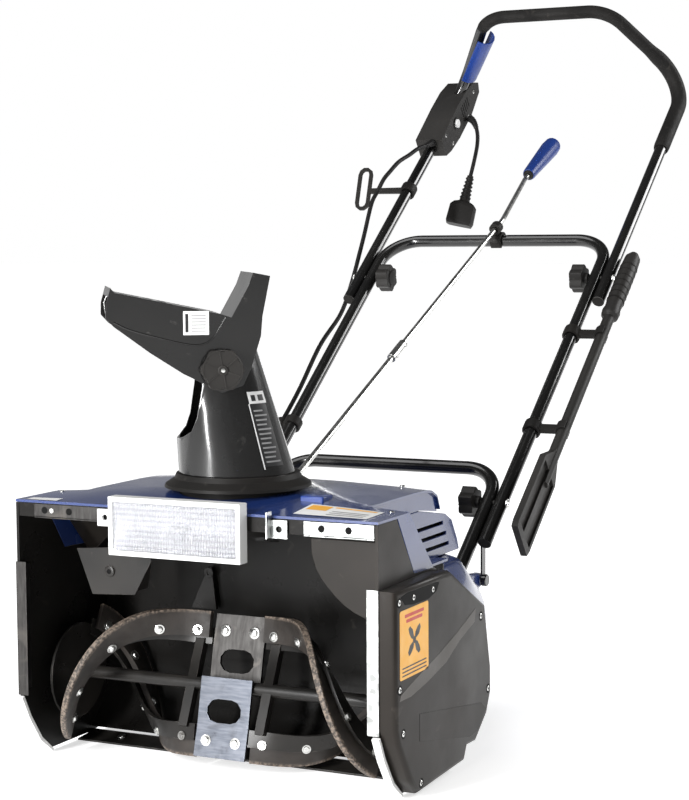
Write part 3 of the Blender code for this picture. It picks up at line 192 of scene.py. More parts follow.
class Shape:
    """Vertices and faces of one piece, gathered from several simple forms; each face keeps its finish."""

    def __init__(self):
        self.verts, self.faces, self.slots = [], [], []

    def add(self, verts, faces, slot=0):
        base = len(self.verts)
        self.verts += [Vector(v) + SHIFT for v in verts]
        self.faces += [tuple(base + i for i in face) for face in faces]
        self.slots += [slot] * len(faces)
        return self

    def skin(self, rings, closed=False, slot=0):
        """Through equal rings of points: capped at both ends, or closed on itself."""
        count = len(rings[0])
        verts = [v for ring in rings for v in ring]
        faces = []
        for i in range(len(rings) if closed else len(rings) - 1):
            a, b = i * count, (i + 1) % len(rings) * count
            for j in range(count):
                k = (j + 1) % count
                faces.append((a + j, a + k, b + k, b + j))
        if not closed:
            faces.append(tuple(range(count))[::-1])
            faces.append(tuple(range(len(verts) - count, len(verts))))
        return self.add(verts, faces, slot)

    def grid(self, rows, slot=0):
        """An open sheet through rows of points."""
        count = len(rows[0])
        faces = [(i * count + j, i * count + j + 1, (i + 1) * count + j + 1, (i + 1) * count + j)
                 for i in range(len(rows) - 1) for j in range(count - 1)]
        return self.add([v for row in rows for v in row], faces, slot)

    def turn(self, profile, start, direction, sides=20, slot=0, phase=0.0):
        """A closed loop of (radius, height) turned about the direction; radius 0 makes a pole."""
        start, direction = Vector(start), Vector(direction).normalized()
        u, v = basis(direction)
        verts, index = [], []
        for radius, height in profile:
            middle = start + height * direction
            if radius == 0:
                verts.append(middle)
                index.append([len(verts) - 1] * sides)
                continue
            index.append(list(range(len(verts), len(verts) + sides)))
            for k in range(sides):
                angle = phase + 2 * pi * k / sides
                verts.append(middle + radius * (cos(angle) * u + sin(angle) * v))
        faces = []
        for i in range(len(profile)):
            a, b = index[i], index[(i + 1) % len(profile)]
            for k in range(sides):
                m = (k + 1) % sides
                face = list(dict.fromkeys((a[k], a[m], b[m], b[k])))
                if len(face) > 2:
                    faces.append(face)
        return self.add(verts, faces, slot)

    def prism(self, outline, base, u, v, depth, slot=0):
        """An outline in the plane of u and v, pushed by the depth vector."""
        rings = [[base + a * u + b * v + push for a, b in outline] for push in (Vector(), depth)]
        return self.skin(rings, slot=slot)

    def box(self, low, high, slot=0):
        outline = [(low[1], low[2]), (high[1], low[2]), (high[1], high[2]), (low[1], high[2])]
        return self.along_x(outline, low[0], high[0] - low[0], slot)

    def along_x(self, outline, x, depth, slot=0):
        """A (y, z) outline at x, pushed along x."""
        return self.prism(outline, x * X_AXIS, Y_AXIS, Z_AXIS, depth * X_AXIS, slot)

    def along_y(self, outline, y, depth, slot=0):
        """An (x, z) outline at y, pushed along y."""
        return self.prism(outline, y * Y_AXIS, X_AXIS, Z_AXIS, depth * Y_AXIS, slot)

    def fan(self, outline, base, a, b, depth, count, start=0.0, slot=0):
        """Copies of an outline turned evenly round the base, in the plane of a and b."""
        for k in range(count):
            angle = start + 2 * pi * k / count
            self.prism(outline, base, a * cos(angle) + b * sin(angle), b * cos(angle) - a * sin(angle),
                       depth, slot)
        return self

    def disc(self, radius, low, high, at, direction, sides=20, slot=0):
        """A plain disc between two heights."""
        return self.turn([(0, low), (radius, low), (radius, high), (0, high)], at, direction, sides, slot)

    def sweep(self, path, radii, sides=20):
        """A round form along a path, with a radius for each point."""
        if not isinstance(radii, list):
            radii = [radii] * len(path)
        heading = [(b - a).normalized() for a, b in zip(path, path[1:])]
        heading = [heading[0], *[(a + b).normalized() for a, b in zip(heading, heading[1:])], heading[-1]]
        side = heading[0].orthogonal().normalized()
        rings = []
        for point, ahead, radius in zip(path, heading, radii):
            side = (side - side.dot(ahead) * ahead).normalized()
            other = ahead.cross(side)
            rings.append([point + radius * (cos(a) * side + sin(a) * other)
                          for a in (2 * pi * k / sides for k in range(sides))])
        return self.skin(rings)

    def bolt(self, at, direction, radius, height):
        """A domed head on a washer."""
        washer = radius * WASHER
        self.turn([(0, -0.0006), (washer, -0.0006), (washer, 0.0006), (washer - 0.12 * radius, 0.001),
                   (0, 0.001)], at, direction)
        dome = [(0, 0.0004), (radius, 0.0004), (radius, 0.35 * height), (0.86 * radius, 0.72 * height),
                (0.55 * radius, 0.94 * height), (0, height)]
        return self.turn(dome, at, direction, 16)

    def hexagon(self, at, direction, radius, height, slot=0):
        """A hexagon head with a chamfered crown, on a washer."""
        self.disc(radius * 1.35, -0.0006, 0.0008, at, direction, 20, slot)
        return self.turn([(0, 0.0004), (radius, 0.0004), (radius, 0.82 * height), (0.86 * radius, height),
                          (0, height)], at, direction, 6, slot, phase=0.3)

    def screw(self, at, direction, radius):
        """A pan head in the first finish, with its cross recess drawn as a thin raised mark in the second,
        painted shade for the recess.
        """
        self.turn([(0, -0.0012), (radius, -0.0012), (radius, 0.0004), (0.8 * radius, 0.001), (0, 0.0012)],
                  at, direction, 16)
        out = Vector(direction).normalized()
        u, v = basis(out)
        arm, half = 0.55 * radius, 0.14 * radius
        outline = [(-arm, -half), (arm, -half), (arm, half), (-arm, half)]
        for a, b in ((u, v), (v, u)):
            self.prism(outline, Vector(at) + 0.001 * out, a, b, 0.0003 * out, 1)
        return self

    def object(self, name, body, finishes, record_slot=None, replaces=(), sharp=35, bevel=0.0):
        """The finished piece, riding on its body."""
        mesh = bpy.data.meshes.new(name)
        mesh.from_pydata(self.verts, [], self.faces)
        finishes = finishes if isinstance(finishes, (list, tuple)) else [finishes]
        for finish in finishes:
            mesh.materials.append(finish)
        mesh.polygons.foreach_set("material_index", self.slots)
        work = bmesh.new()
        work.from_mesh(mesh)
        bmesh.ops.recalc_face_normals(work, faces=work.faces)
        work.to_mesh(mesh)
        work.free()
        mesh.shade_smooth()
        mesh.set_sharp_from_angle(angle=radians(sharp))
        made = placed(name, mesh)
        if bevel:
            add_bevel(made, bevel)
        return assign(made, body, replaces)


SHARP_EDGE = radians(32)


def add_bevel(made, width):
    step = made.modifiers.new("rounded_edges", "BEVEL")
    step.width = width
    step.segments = 2
    step.limit_method = "ANGLE"
    step.angle_limit = SHARP_EDGE
    step.use_clamp_overlap = True
    step.harden_normals = False


def add_wall(made, thickness, offset):
    wall = made.modifiers.new("wall", "SOLIDIFY")
    wall.thickness = thickness
    wall.offset = offset


def curve_piece(name, path, radius, finish, body, replaces=()):
    """A round cable as a bevelled poly curve with closed ends."""
    curve = bpy.data.curves.new(name, "CURVE")
    curve.dimensions = "3D"
    curve.bevel_depth = radius
    curve.bevel_resolution = 5
    curve.use_fill_caps = True
    spline = curve.splines.new("POLY")
    spline.points.add(len(path) - 1)
    for point, place in zip(spline.points, path):
        point.co = (*(place + SHIFT), 1)
    curve.materials.append(finish)
    return assign(placed(name, curve), body, replaces)


def stadium(half_length, half_width, steps=8):
    straight = half_length - half_width
    right = [(straight + half_width * cos(a), half_width * sin(a))
             for a in (radians(-90 + 180 * i / steps) for i in range(steps + 1))]
    return right + [(-a, -b) for a, b in right]


def rounded_rectangle(width, height, radius, steps=4):
    points = []
    for sx, sy, start in ((1, 1, 0), (-1, 1, 90), (-1, -1, 180), (1, -1, 270)):
        for i in range(steps + 1):
            angle = radians(start + 90 * i / steps)
            points.append((sx * (width / 2 - radius) + radius * cos(angle),
                           sy * (height / 2 - radius) + radius * sin(angle)))
    return points


# ---------------------------------------------------------------- finishes
class Finish:
    """A procedural material: helpers that add nodes to a Principled shader."""

    def __init__(self, name, rough, metallic=0.0, **sockets):
        self.material = bpy.data.materials.new(name)
        self.material.use_nodes = True
        self.tree = self.material.node_tree
        self.shader = self.tree.nodes["Principled BSDF"]
        self.shader.inputs["Roughness"].default_value = rough
        self.shader.inputs["Metallic"].default_value = metallic
        for socket, value in sockets.items():
            self.shader.inputs[socket.replace("_", " ")].default_value = value
        self.place = self.tree.nodes.new("ShaderNodeTexCoord").outputs["Object"]

    def node(self, kind, **settings):
        made = self.tree.nodes.new(kind)
        for key, value in settings.items():
            setattr(made, key, value)
        return made

    def feed(self, source, socket):
        if hasattr(source, "links"):
            self.tree.links.new(source, socket)
        else:
            socket.default_value = source

    def stretched(self, scale):
        mapping = self.node("ShaderNodeMapping")
        self.feed(self.place, mapping.inputs["Vector"])
        mapping.inputs["Scale"].default_value = scale
        return mapping.outputs["Vector"]

    def noise(self, scale, detail=3.0, place=None, distortion=0.0):
        made = self.node("ShaderNodeTexNoise")
        self.feed(place or self.place, made.inputs["Vector"])
        made.inputs["Scale"].default_value = scale
        made.inputs["Detail"].default_value = detail
        made.inputs["Distortion"].default_value = distortion
        return made.outputs["Fac"]

    def cells(self, scale):
        made = self.node("ShaderNodeTexVoronoi")
        self.feed(self.place, made.inputs["Vector"])
        made.inputs["Scale"].default_value = scale
        split = self.node("ShaderNodeSeparateColor")
        self.feed(made.outputs["Color"], split.inputs[0])
        return split.outputs[0]

    def span(self, source, low, high, out_low, out_high):
        made = self.node("ShaderNodeMapRange")
        self.feed(source, made.inputs[0])
        for i, value in enumerate((low, high, out_low, out_high)):
            made.inputs[i + 1].default_value = value
        return made.outputs[0]

    def times(self, a, b):
        made = self.node("ShaderNodeMath", operation="MULTIPLY")
        self.feed(a, made.inputs[0])
        self.feed(b, made.inputs[1])
        return made.outputs[0]

    def mix(self, share, a, b):
        made = self.node("ShaderNodeMix", data_type="RGBA")
        self.feed(share, made.inputs[0])
        self.feed(a if hasattr(a, "links") else (*a, 1), made.inputs[6])
        self.feed(b if hasattr(b, "links") else (*b, 1), made.inputs[7])
        return made.outputs[2]

    def edges(self, radius):
        """0 on a flat face and up to 1 along an edge."""
        soft = self.node("ShaderNodeBevel", samples=4)
        soft.inputs["Radius"].default_value = radius
        flat = self.node("ShaderNodeNewGeometry")
        dot = self.node("ShaderNodeVectorMath", operation="DOT_PRODUCT")
        self.feed(soft.outputs[0], dot.inputs[0])
        self.feed(flat.outputs["Normal"], dot.inputs[1])
        return self.span(dot.outputs["Value"], 0.99, 0.9, 0.0, 1.0)

    def colour(self, source):
        self.feed(source, self.shader.inputs["Base Color"])
        return self

    def rough(self, source):
        self.feed(source, self.shader.inputs["Roughness"])
        return self

    def tone(self, scale, detail, colour, tint, low=0.35, high=0.7, most=1):
        """The colour, drifting unevenly towards the tint."""
        return self.mix(self.span(self.noise(scale, detail), low, high, 0, most), colour, tint)

    def uneven(self, scale, detail, low, high):
        """Roughness that drifts between two values."""
        return self.rough(self.span(self.noise(scale, detail), 0.3, 0.7, low, high))

    def bump(self, height, strength, distance):
        made = self.node("ShaderNodeBump")
        made.inputs["Strength"].default_value = strength
        made.inputs["Distance"].default_value = distance
        self.feed(height, made.inputs["Height"])
        self.feed(made.outputs[0], self.shader.inputs["Normal"])
        return self


def moulded(name, colour, tint, rough, scuff, grain=1400, grain_strength=0.12, wear=0.35, **sockets):
    """Moulded plastic: uneven tone, faint scuffs, paler worn edges and a fine grain."""
    made = Finish(name, rough, **sockets)
    tone = made.tone(7, 4, colour, tint)
    marks = made.span(made.noise(55, 8, made.stretched((1, 0.35, 1)), 0.6), 0.66, 0.74, 0, 0.35)
    tone = made.mix(marks, tone, scuff)
    worn = made.times(made.edges(0.0011), made.span(made.noise(40, 4), 0.42, 0.62, 0, wear))
    made.colour(made.mix(worn, tone, scuff))
    made.uneven(18, 5, rough - 0.04, rough + 0.09)
    return made.bump(made.noise(grain, 2), grain_strength, 0.00015).material


def painted(name, colour, tint, rough, chip, **sockets):
    """Painted steel: orange peel in the gloss, and small chips along its edges."""
    made = Finish(name, rough, **sockets)
    tone = made.tone(12, 3, colour, tint)
    worn = made.times(made.edges(0.001), made.span(made.noise(70, 5), 0.5, 0.62, 0, 0.6))
    made.colour(made.mix(worn, tone, chip))
    made.uneven(30, 4, rough - 0.03, rough + 0.07)
    return made.bump(made.noise(420, 2), 0.1, 0.0002).material


def plated(name, colour, tint, rough, spangle=0, brushed=None, dark=(0.12, 0.11, 0.1)):
    """Bare or plated steel: spangle or brushing, handling stains, dull edges."""
    made = Finish(name, rough, 1.0)
    if spangle:
        share = made.span(made.cells(spangle), 0.1, 0.9, 0, 1)
    else:
        share = made.span(made.noise(45, 5, made.stretched(brushed or (1, 1, 1))), 0.35, 0.65, 0, 1)
    tone = made.mix(share, colour, tint)
    stain = made.span(made.noise(28, 6, distortion=0.8), 0.58, 0.75, 0, 0.75)
    made.colour(made.mix(stain, tone, dark))
    made.uneven(60, 5, rough - 0.07, rough + 0.12)
    return made.bump(made.noise(260, 4, made.stretched(brushed or (1, 1, 1))), 0.12, 0.0002).material


def rubbery(name, colour, tint, rough, grain=700):
    made = Finish(name, rough, Specular_IOR_Level=0.12)
    tone = made.tone(22, 5, colour, tint)
    dust = made.span(made.noise(90, 6, distortion=0.5), 0.6, 0.72, 0, 0.2)
    made.colour(made.mix(dust, tone, (0.1, 0.09, 0.08)))
    made.uneven(40, 4, rough - 0.08, rough + 0.08)
    return made.bump(made.noise(grain, 3), 0.35, 0.0003).material


def band_rubber():
    """Reinforced blade rubber, rubbed to a dusty brown towards its running edge."""
    made = Finish("blade_rubber", 0.6, Specular_IOR_Level=0.4)
    shift = made.node("ShaderNodeVectorMath", operation="SUBTRACT")
    made.feed(made.place, shift.inputs[0])
    shift.inputs[1].default_value = SHAFT + SHIFT
    flat = made.node("ShaderNodeVectorMath", operation="MULTIPLY")
    made.feed(shift.outputs[0], flat.inputs[0])
    flat.inputs[1].default_value = (0, 1, 1)
    reach = made.node("ShaderNodeVectorMath", operation="LENGTH")
    made.feed(flat.outputs[0], reach.inputs[0])
    far = made.span(reach.outputs["Value"], 0.0835, 0.0872, 0, 1)
    tone = made.tone(30, 5, (0.016, 0.013, 0.011), (0.034, 0.028, 0.024))
    speckle = made.span(made.noise(300, 5), 0.42, 0.6, 0.1, 0.9)
    made.colour(made.mix(made.times(far, speckle), tone, (0.21, 0.165, 0.13)))
    made.uneven(50, 4, 0.42, 0.72)
    return made.bump(made.noise(420, 4), 0.3, 0.0003).material


black_shell = moulded("black_shell", (0.007, 0.0066, 0.0062), (0.013, 0.012, 0.011), 0.27,
                      (0.05, 0.045, 0.04), Specular_IOR_Level=0.13)
brown_side = moulded("side_shell", (0.016, 0.014, 0.012), (0.026, 0.022, 0.019), 0.34,
                     (0.07, 0.06, 0.052), Specular_IOR_Level=0.15)
# A paler copy of the side moulding: a painted sheen for the belt cover's diagonal band.
cover_sheen_finish = moulded("cover_sheen_band", (0.06, 0.054, 0.048), (0.078, 0.07, 0.062), 0.36,
                    (0.13, 0.12, 0.11), Specular_IOR_Level=0.25)
chute_gloss = moulded("chute_gloss", (0.0055, 0.0055, 0.0055), (0.01, 0.0095, 0.009), 0.22,
                      (0.05, 0.048, 0.045), 2200, 0.04, 0.2, Specular_IOR_Level=0.12, Coat_Weight=0.8,
                      Coat_Roughness=0.12)
matte_black = moulded("matte_black", (0.012, 0.0115, 0.011), (0.021, 0.019, 0.017), 0.46,
                      (0.06, 0.056, 0.052), 1100, 0.22, Specular_IOR_Level=0.13)
knob_black = moulded("knob_black", (0.019, 0.018, 0.017), (0.03, 0.028, 0.026), 0.42,
                     (0.1, 0.095, 0.09), 1300, 0.2, Specular_IOR_Level=0.18)
blue_shell = moulded("blue_shell", (0.012, 0.03, 0.135), (0.018, 0.042, 0.17), 0.2,
                     (0.12, 0.16, 0.3), 2000, 0.05, 0.3, Coat_Weight=0.5, Coat_Roughness=0.05)
blue_grip = moulded("blue_grip", (0.008, 0.033, 0.19), (0.012, 0.045, 0.24), 0.3, (0.1, 0.16, 0.35))
white_shell = moulded("white_shell", (0.72, 0.72, 0.71), (0.8, 0.8, 0.79), 0.3, (0.5, 0.48, 0.45),
                      wear=0.15)
tube_paint = painted("tube_paint", (0.0055, 0.0055, 0.0055), (0.01, 0.0095, 0.009), 0.16,
                     (0.14, 0.13, 0.12), Coat_Weight=0.4, Coat_Roughness=0.05)
frame_paint = painted("auger_paint", (0.01, 0.0095, 0.009), (0.02, 0.018, 0.016), 0.3,
                      (0.2, 0.18, 0.16), Specular_IOR_Level=0.3)
zinc = plated("zinc", (0.62, 0.62, 0.6), (0.8, 0.8, 0.78), 0.24, brushed=(1, 6, 6))
galvanised = plated("galvanised", (0.26, 0.27, 0.265), (0.68, 0.69, 0.685), 0.3, spangle=110)
strip_steel = plated("strip_steel", (0.24, 0.245, 0.24), (0.44, 0.45, 0.44), 0.34, spangle=170)
plate_steel = plated("plate_steel", (0.075, 0.082, 0.098), (0.115, 0.122, 0.14), 0.34, brushed=(1, 9, 9),
                     dark=(0.03, 0.03, 0.033))
# Dull plate steel: the upper centre plate's own finish, and also painted shade on the left half of the
# front flange and on the right edge strip.
dull_and_shaded_plate = plated("dull_and_shaded_plate", (0.042, 0.04, 0.039), (0.066, 0.064, 0.062), 0.46, brushed=(6, 1, 1))
motor_can = plated("motor_can", (0.2, 0.2, 0.21), (0.3, 0.3, 0.31), 0.42, brushed=(1, 8, 8))
# Near-black moulding used as painted shade: dark discs for holes and screw wells, cross recesses, the
# finger recess and the sheets behind the vents.
painted_shade = moulded("painted_shade", (0.003, 0.003, 0.003), (0.005, 0.005, 0.005), 0.6,
                      (0.012, 0.012, 0.012), Specular_IOR_Level=0.1)
tyre_rubber = rubbery("tyre_rubber", (0.014, 0.013, 0.012), (0.026, 0.024, 0.022), 0.72)
foam = rubbery("grip_foam", (0.01, 0.0095, 0.009), (0.018, 0.017, 0.016), 0.62, 1500)
cord_rubber = rubbery("cord_jacket", (0.01, 0.01, 0.01), (0.016, 0.015, 0.015), 0.42, 1600)
blade_rubber = band_rubber()


def label_finish(name, colour, tint):
    made = Finish(name, 0.38)
    made.colour(made.tone(45, 5, colour, tint, 0.4, 0.75, 0.6))
    made.uneven(80, 4, 0.3, 0.5)
    return made.bump(made.noise(350, 3), 0.05, 0.0002).material


amber = label_finish("label_amber", (0.86, 0.42, 0.045), (0.9, 0.5, 0.09))
pale_print = label_finish("label_white", (0.8, 0.8, 0.79), (0.88, 0.88, 0.87))
ink = label_finish("label_ink", (0.01, 0.01, 0.011), (0.02, 0.02, 0.02))
grey_ink = label_finish("label_grey", (0.3, 0.3, 0.3), (0.4, 0.4, 0.4))
red_ink = label_finish("label_red", (0.5, 0.03, 0.02), (0.58, 0.05, 0.03))


def lens_finish():
    """Clear moulded lens."""
    made = Finish("clear_lens", 0.06, IOR=1.49, Transmission_Weight=0.75)
    made.colour(made.tone(60, 4, (0.86, 0.87, 0.9), (0.93, 0.93, 0.95)))
    made.uneven(120, 4, 0.03, 0.14)
    return made.bump(made.noise(500, 2), 0.04, 0.0002).material


def reflector_finish():
    made = Finish("reflector", 0.18, 1.0)
    made.colour(made.tone(35, 4, (0.58, 0.58, 0.64), (0.85, 0.85, 0.88)))
    made.uneven(90, 4, 0.12, 0.28)
    return made.bump(made.noise(160, 3), 0.08, 0.0003).material


clear_lens = lens_finish()
reflector = reflector_finish()


# ---------------------------------------------------------------- camera, then the free cord
CAMERA_PLACE = Vector((1.1405, -2.0379, 0.6359))
CAMERA_TURN, CAMERA_TILT, CAMERA_ROLL = radians(26.223), radians(4.796), radians(-0.397)
SENSOR, LENS = 36.0, 87.055


def make_camera():
    back = Vector((sin(CAMERA_TURN) * cos(CAMERA_TILT), -cos(CAMERA_TURN) * cos(CAMERA_TILT),
                   sin(CAMERA_TILT)))
    level = Vector((cos(CAMERA_TURN), sin(CAMERA_TURN), 0))
    above = back.cross(level)
    right = cos(CAMERA_ROLL) * level + sin(CAMERA_ROLL) * above
    up = cos(CAMERA_ROLL) * above - sin(CAMERA_ROLL) * level
    data = bpy.data.cameras.new("camera")
    data.sensor_width, data.lens = SENSOR, LENS
    made = placed("camera", data)
    made.matrix_world = Matrix(((right.x, up.x, back.x, CAMERA_PLACE.x),
                                (right.y, up.y, back.y, CAMERA_PLACE.y),
                                (right.z, up.z, back.z, CAMERA_PLACE.z), (0, 0, 0, 1)))
    bpy.context.scene.camera = made
    bpy.context.scene.view_settings.view_transform = "Standard"


CORD_EXIT = Vector((-0.1812, 1.0234, 0.8479))
CORD_HEADING = Vector((0.75, 0.1, -0.65)).normalized()
PLUG_TOP = Vector((-0.164, 0.998, 0.7419))
PLUG_END = Vector((-0.178, 0.9746, 0.6514))


def make_power_cord():
    """The short lead from the switch box to its plug, the tapered boot at the box and the plug's ribs."""
    down = (PLUG_END - PLUG_TOP).normalized()
    route = [CORD_EXIT + 0.004 * CORD_HEADING, CORD_EXIT + 0.016 * CORD_HEADING,
             Vector((-0.161, 1.0215, 0.82)), Vector((-0.158, 1.015, 0.798)),
             Vector((-0.1595, 1.005, 0.77)), PLUG_TOP + 0.004 * down]
    path = curve_through(route, 36)
    flex = curve_piece("power_lead", path, CABLE_R, cord_rubber, "upper_handle",
                       ["power_cord"])
    boot_path = between(path, 0.0, 0.026, 0.001)
    radii = []
    for i in range(len(boot_path)):
        t = i / (len(boot_path) - 1)
        rib = 0.0005 if i % 4 in (1, 2) else 0.0
        radii.append(0.0072 - 0.003 * t - rib * (i > 5))
    boot = Shape().sweep(boot_path, radii, 20)
    boot = boot.object("lead_boot", "upper_handle", cord_rubber, "black_plastic", ["strain_relief"])
    ribs = Shape()
    for k in range(6):
        reach = 0.004 + 0.0068 * k
        size = 0.0068 + 0.00055 * k
        ribs.turn([(0.004, 0), (size, 0.0004), (size + 0.0004, 0.0016), (size, 0.003), (0.004, 0.0034)],
                  PLUG_TOP + reach * down, down, 20)
    ribs = ribs.object("plug_ribs", "upper_handle", cord_rubber, "black_plastic")


# ---------------------------------------------------------------- CAD pieces that stay, with a finish
def soften(node, width):
    """Welds the faceted solid, merges its flat triangles and rounds its edges."""
    weld = node.modifiers.new("weld", "WELD")
    weld.merge_threshold = 0.00002
    flat = node.modifiers.new("flats", "DECIMATE")
    flat.decimate_type = "DISSOLVE"
    flat.angle_limit = radians(0.6)
    if width:
        add_bevel(node, width)
    shade = node.modifiers.new("shade", "NODES")
    shade.node_group = smooth_group()
    even = node.modifiers.new("normals", "WEIGHTED_NORMAL")
    even.keep_sharp = True


def smooth_group():
    """A modifier that shades smooth, apart from edges sharper than 32 degrees."""
    found = bpy.data.node_groups.get("smooth_by_angle")
    if found:
        return found
    group = bpy.data.node_groups.new("smooth_by_angle", "GeometryNodeTree")
    group.interface.new_socket("Geometry", in_out="INPUT", socket_type="NodeSocketGeometry")
    group.interface.new_socket("Geometry", in_out="OUTPUT", socket_type="NodeSocketGeometry")
    into = group.nodes.new("NodeGroupInput")
    out = group.nodes.new("NodeGroupOutput")
    clear = group.nodes.new("GeometryNodeRemoveAttribute")
    clear.inputs["Name"].default_value = "custom_normal"
    faces = group.nodes.new("GeometryNodeSetShadeSmooth")
    faces.domain = "FACE"
    edges = group.nodes.new("GeometryNodeSetShadeSmooth")
    edges.domain = "EDGE"
    angle = group.nodes.new("GeometryNodeInputMeshEdgeAngle")
    small = group.nodes.new("FunctionNodeCompare")
    small.data_type = "FLOAT"
    small.operation = "LESS_THAN"
    small.inputs[1].default_value = SHARP_EDGE
    link = group.links.new
    link(into.outputs[0], clear.inputs["Geometry"])
    link(clear.outputs["Geometry"], faces.inputs["Geometry"])
    link(faces.outputs["Geometry"], edges.inputs["Geometry"])
    link(angle.outputs["Unsigned Angle"], small.inputs[0])
    link(small.outputs[0], edges.inputs["Shade Smooth"])
    link(edges.outputs["Geometry"], out.inputs[0])
    return group


KEPT = {
    "scoop": (black_shell, 0.0006), "side_plate_left": (brown_side, 0.0008),
    "side_plate_right": (black_shell, 0.0008), "scraper_bar": (frame_paint, 0.0004),
    # The right edge strip is the same steel as the left one; its dull plate finish is painted shade.
    "edge_strip_left": (strip_steel, 0.0003), "edge_strip_right": (dull_and_shaded_plate, 0.0003),
    "wear_strip_left": (white_shell, 0.0006), "wear_strip_right": (white_shell, 0.0006),
    "top_deck": (blue_shell, 0.0008), "motor_cover": (blue_shell, 0.0022),
    "lamp_housing": (white_shell, 0.001), "lamp_bracket": (galvanised, 0.0003),
    "bearing_left": (zinc, 0.0004), "bearing_right": (zinc, 0.0004), "drive_belt": (tyre_rubber, 0.0003),
    "motor": (motor_can, 0.001), "wheel_axle": (zinc, 0.0005), "crank_eye": (matte_black, 0.0008),
    "cable_clip": (matte_black, 0.0006), "tool_clip_upper": (matte_black, 0.0006),
    "tool_clip_lower": (matte_black, 0.0006), "auger_frame": (frame_paint, 0.0004),
    "centre_plate_upper": (dull_and_shaded_plate, 0.0004), "centre_plate_lower": (plate_steel, 0.0004),
    "auger_pulley": (matte_black, 0.0004), "motor_rotor": (zinc, 0.0003),
    "chute_base": (matte_black, 0.0005), "chute_tube": (chute_gloss, 0.0006),
    "deflector": (chute_gloss, 0.001), "deflector_knob": (knob_black, 0.0012),
    "crank_rod_lower": (zinc, 0.0003), "crank_rod_upper": (zinc, 0.0004), "crank_grip": (blue_grip, 0.0006),
    "switch_box": (knob_black, 0.0028), "cord_hook": (matte_black, 0.001),
    "plug": (matte_black, 0.0012), "switch_lever": (blue_grip, 0.0006),
    "safety_button": (white_shell, 0.0008), "knob_upper_left": (knob_black, 0.0012),
    "knob_upper_right": (knob_black, 0.0012), "knob_lower_left": (knob_black, 0.0012),
    "knob_lower_right": (knob_black, 0.0012), "clean_out_tool": (knob_black, 0.001),
}


def dress_frame():
    for name, (finish, width) in KEPT.items():
        node = nodes[name]
        node.data.materials.clear()
        node.data.materials.append(finish)
        soften(node, width)


# ---------------------------------------------------------------- handle
UPPER_CORNERS = [on_handle(-UPPER_X, 0.427), (-0.108, 0.9305, 1.005), (0.108, 0.9305, 1.005),
                 on_handle(UPPER_X, 0.427)]
TUBE_SHOWN = 0.0094
UPPER_FOOT_S, MIDDLE_FOOT_S, LOWER_FOOT_S, LOWER_TOP_S = -0.15, -0.655, -0.765, -0.515
BOSS = Vector((0, 0.2386, 0.1749))
GRIP_START, GRIP_SLIM, GRIP_REST = 0.39, 0.64, 0.712
GRIP_R, GRIP_SWELL, GRIP_EASE = 0.0106, 0.0021, 0.03


def upper_path():
    foot, end = on_handle(-UPPER_X, UPPER_FOOT_S), on_handle(UPPER_X, UPPER_FOOT_S)
    return rounded([foot, *UPPER_CORNERS, end], 0.06, 14)


def bow(x, foot, top, radius):
    """A U-shaped tube in the handle plane, open at its foot."""
    corners = [on_handle(-x, foot), on_handle(-x, top), on_handle(x, top), on_handle(x, foot)]
    return Shape().sweep(rounded(corners, radius, 14), TUBE_SHOWN, 28)


def make_tubes():
    """Round tubes for the three frames, with end caps, and the brace straps on the lower one."""
    shape = Shape().sweep(upper_path(), TUBE_SHOWN, 28)
    plug = mm([(0, -0.8), (7.8, -0.8), (8.8, 0.6), (8.8, 4), (0, 4)])
    for side in (-1, 1):
        shape.turn(plug, on_handle(side * UPPER_X, UPPER_FOOT_S), ALONG, 24, 1)
    shape.object("upper_tube", "upper_handle", [tube_paint, matte_black], "black_paint", ["upper_frame"])
    shape = bow(MIDDLE_X, MIDDLE_FOOT_S, 0, 0.055)
    cap = mm([(0, -0.6), (8.5, -0.6), (9.4, 1.2), (9.4, 13), (8.8, 14), (0, 14)])
    for side in (-1, 1):
        shape.turn(cap, on_handle(side * MIDDLE_X, MIDDLE_FOOT_S), ALONG, 24, 1)
    shape.object("middle_tube", "machine", [tube_paint, matte_black], "black_paint", ["middle_frame"])
    shape = bow(LOWER_X, LOWER_FOOT_S, LOWER_TOP_S, 0.05)
    top = on_handle(0, -0.6)
    along = (BOSS - top).normalized()
    across = Vector((0, -along.z, along.y)) * 0.006
    strap = [top - across, top + across, BOSS + across + along * 0.006, BOSS - across + along * 0.006]
    for side in (-1, 1):
        shape.along_x([(p.y, p.z) for p in strap], side * LOWER_X - 0.0012, 0.0024)
        shape.turn(mm([(0, 0), (8.3, 0), (8.3, 5), (7.4, 6.2), (0, 6.2)]),
                   BOSS + side * 0.1676 * X_AXIS, side * X_AXIS, 24)
        shape.hexagon(BOSS + side * 0.1655 * X_AXIS, -side * X_AXIS, 0.0052, 0.0035, 1)
    shape.object("lower_tube", "machine", [tube_paint, zinc], "black_paint", ["lower_frame"])
    ends = Shape()
    for side in (-1, 1):
        for s, x in ((KNOB_UPPER_S, UPPER_X), (KNOB_LOWER_S, MIDDLE_X)):
            ends.hexagon(on_handle(side * (x + 0.0093), s), side * X_AXIS, 0.0048, 0.003)
    ends.object("handle_nuts", "machine", zinc, "bright_steel")


def make_foam_grip():
    """Foam sleeve: thick from the left leg round the bend, slimmer over the top bar, rounded ends."""
    path = upper_path()[::-1]
    last = length_of(path) - GRIP_REST
    path = between(path, GRIP_START, last, 0.003)
    radii = []
    for i in range(len(path)):
        run = GRIP_START + (last - GRIP_START) * i / (len(path) - 1)
        blend = min(max((run - GRIP_SLIM + GRIP_EASE) / GRIP_EASE, 0), 1)
        radii.append(GRIP_R + GRIP_SWELL * (1 - blend * blend * (3 - 2 * blend)))
    for k, drop in enumerate((0.0014, 0.0006, 0.0002)):
        radii[k] -= drop
        radii[-1 - k] -= drop
    Shape().sweep(path, radii, 32).object("foam_grip", "upper_handle", foam, "rubber", ["handle_grip"])


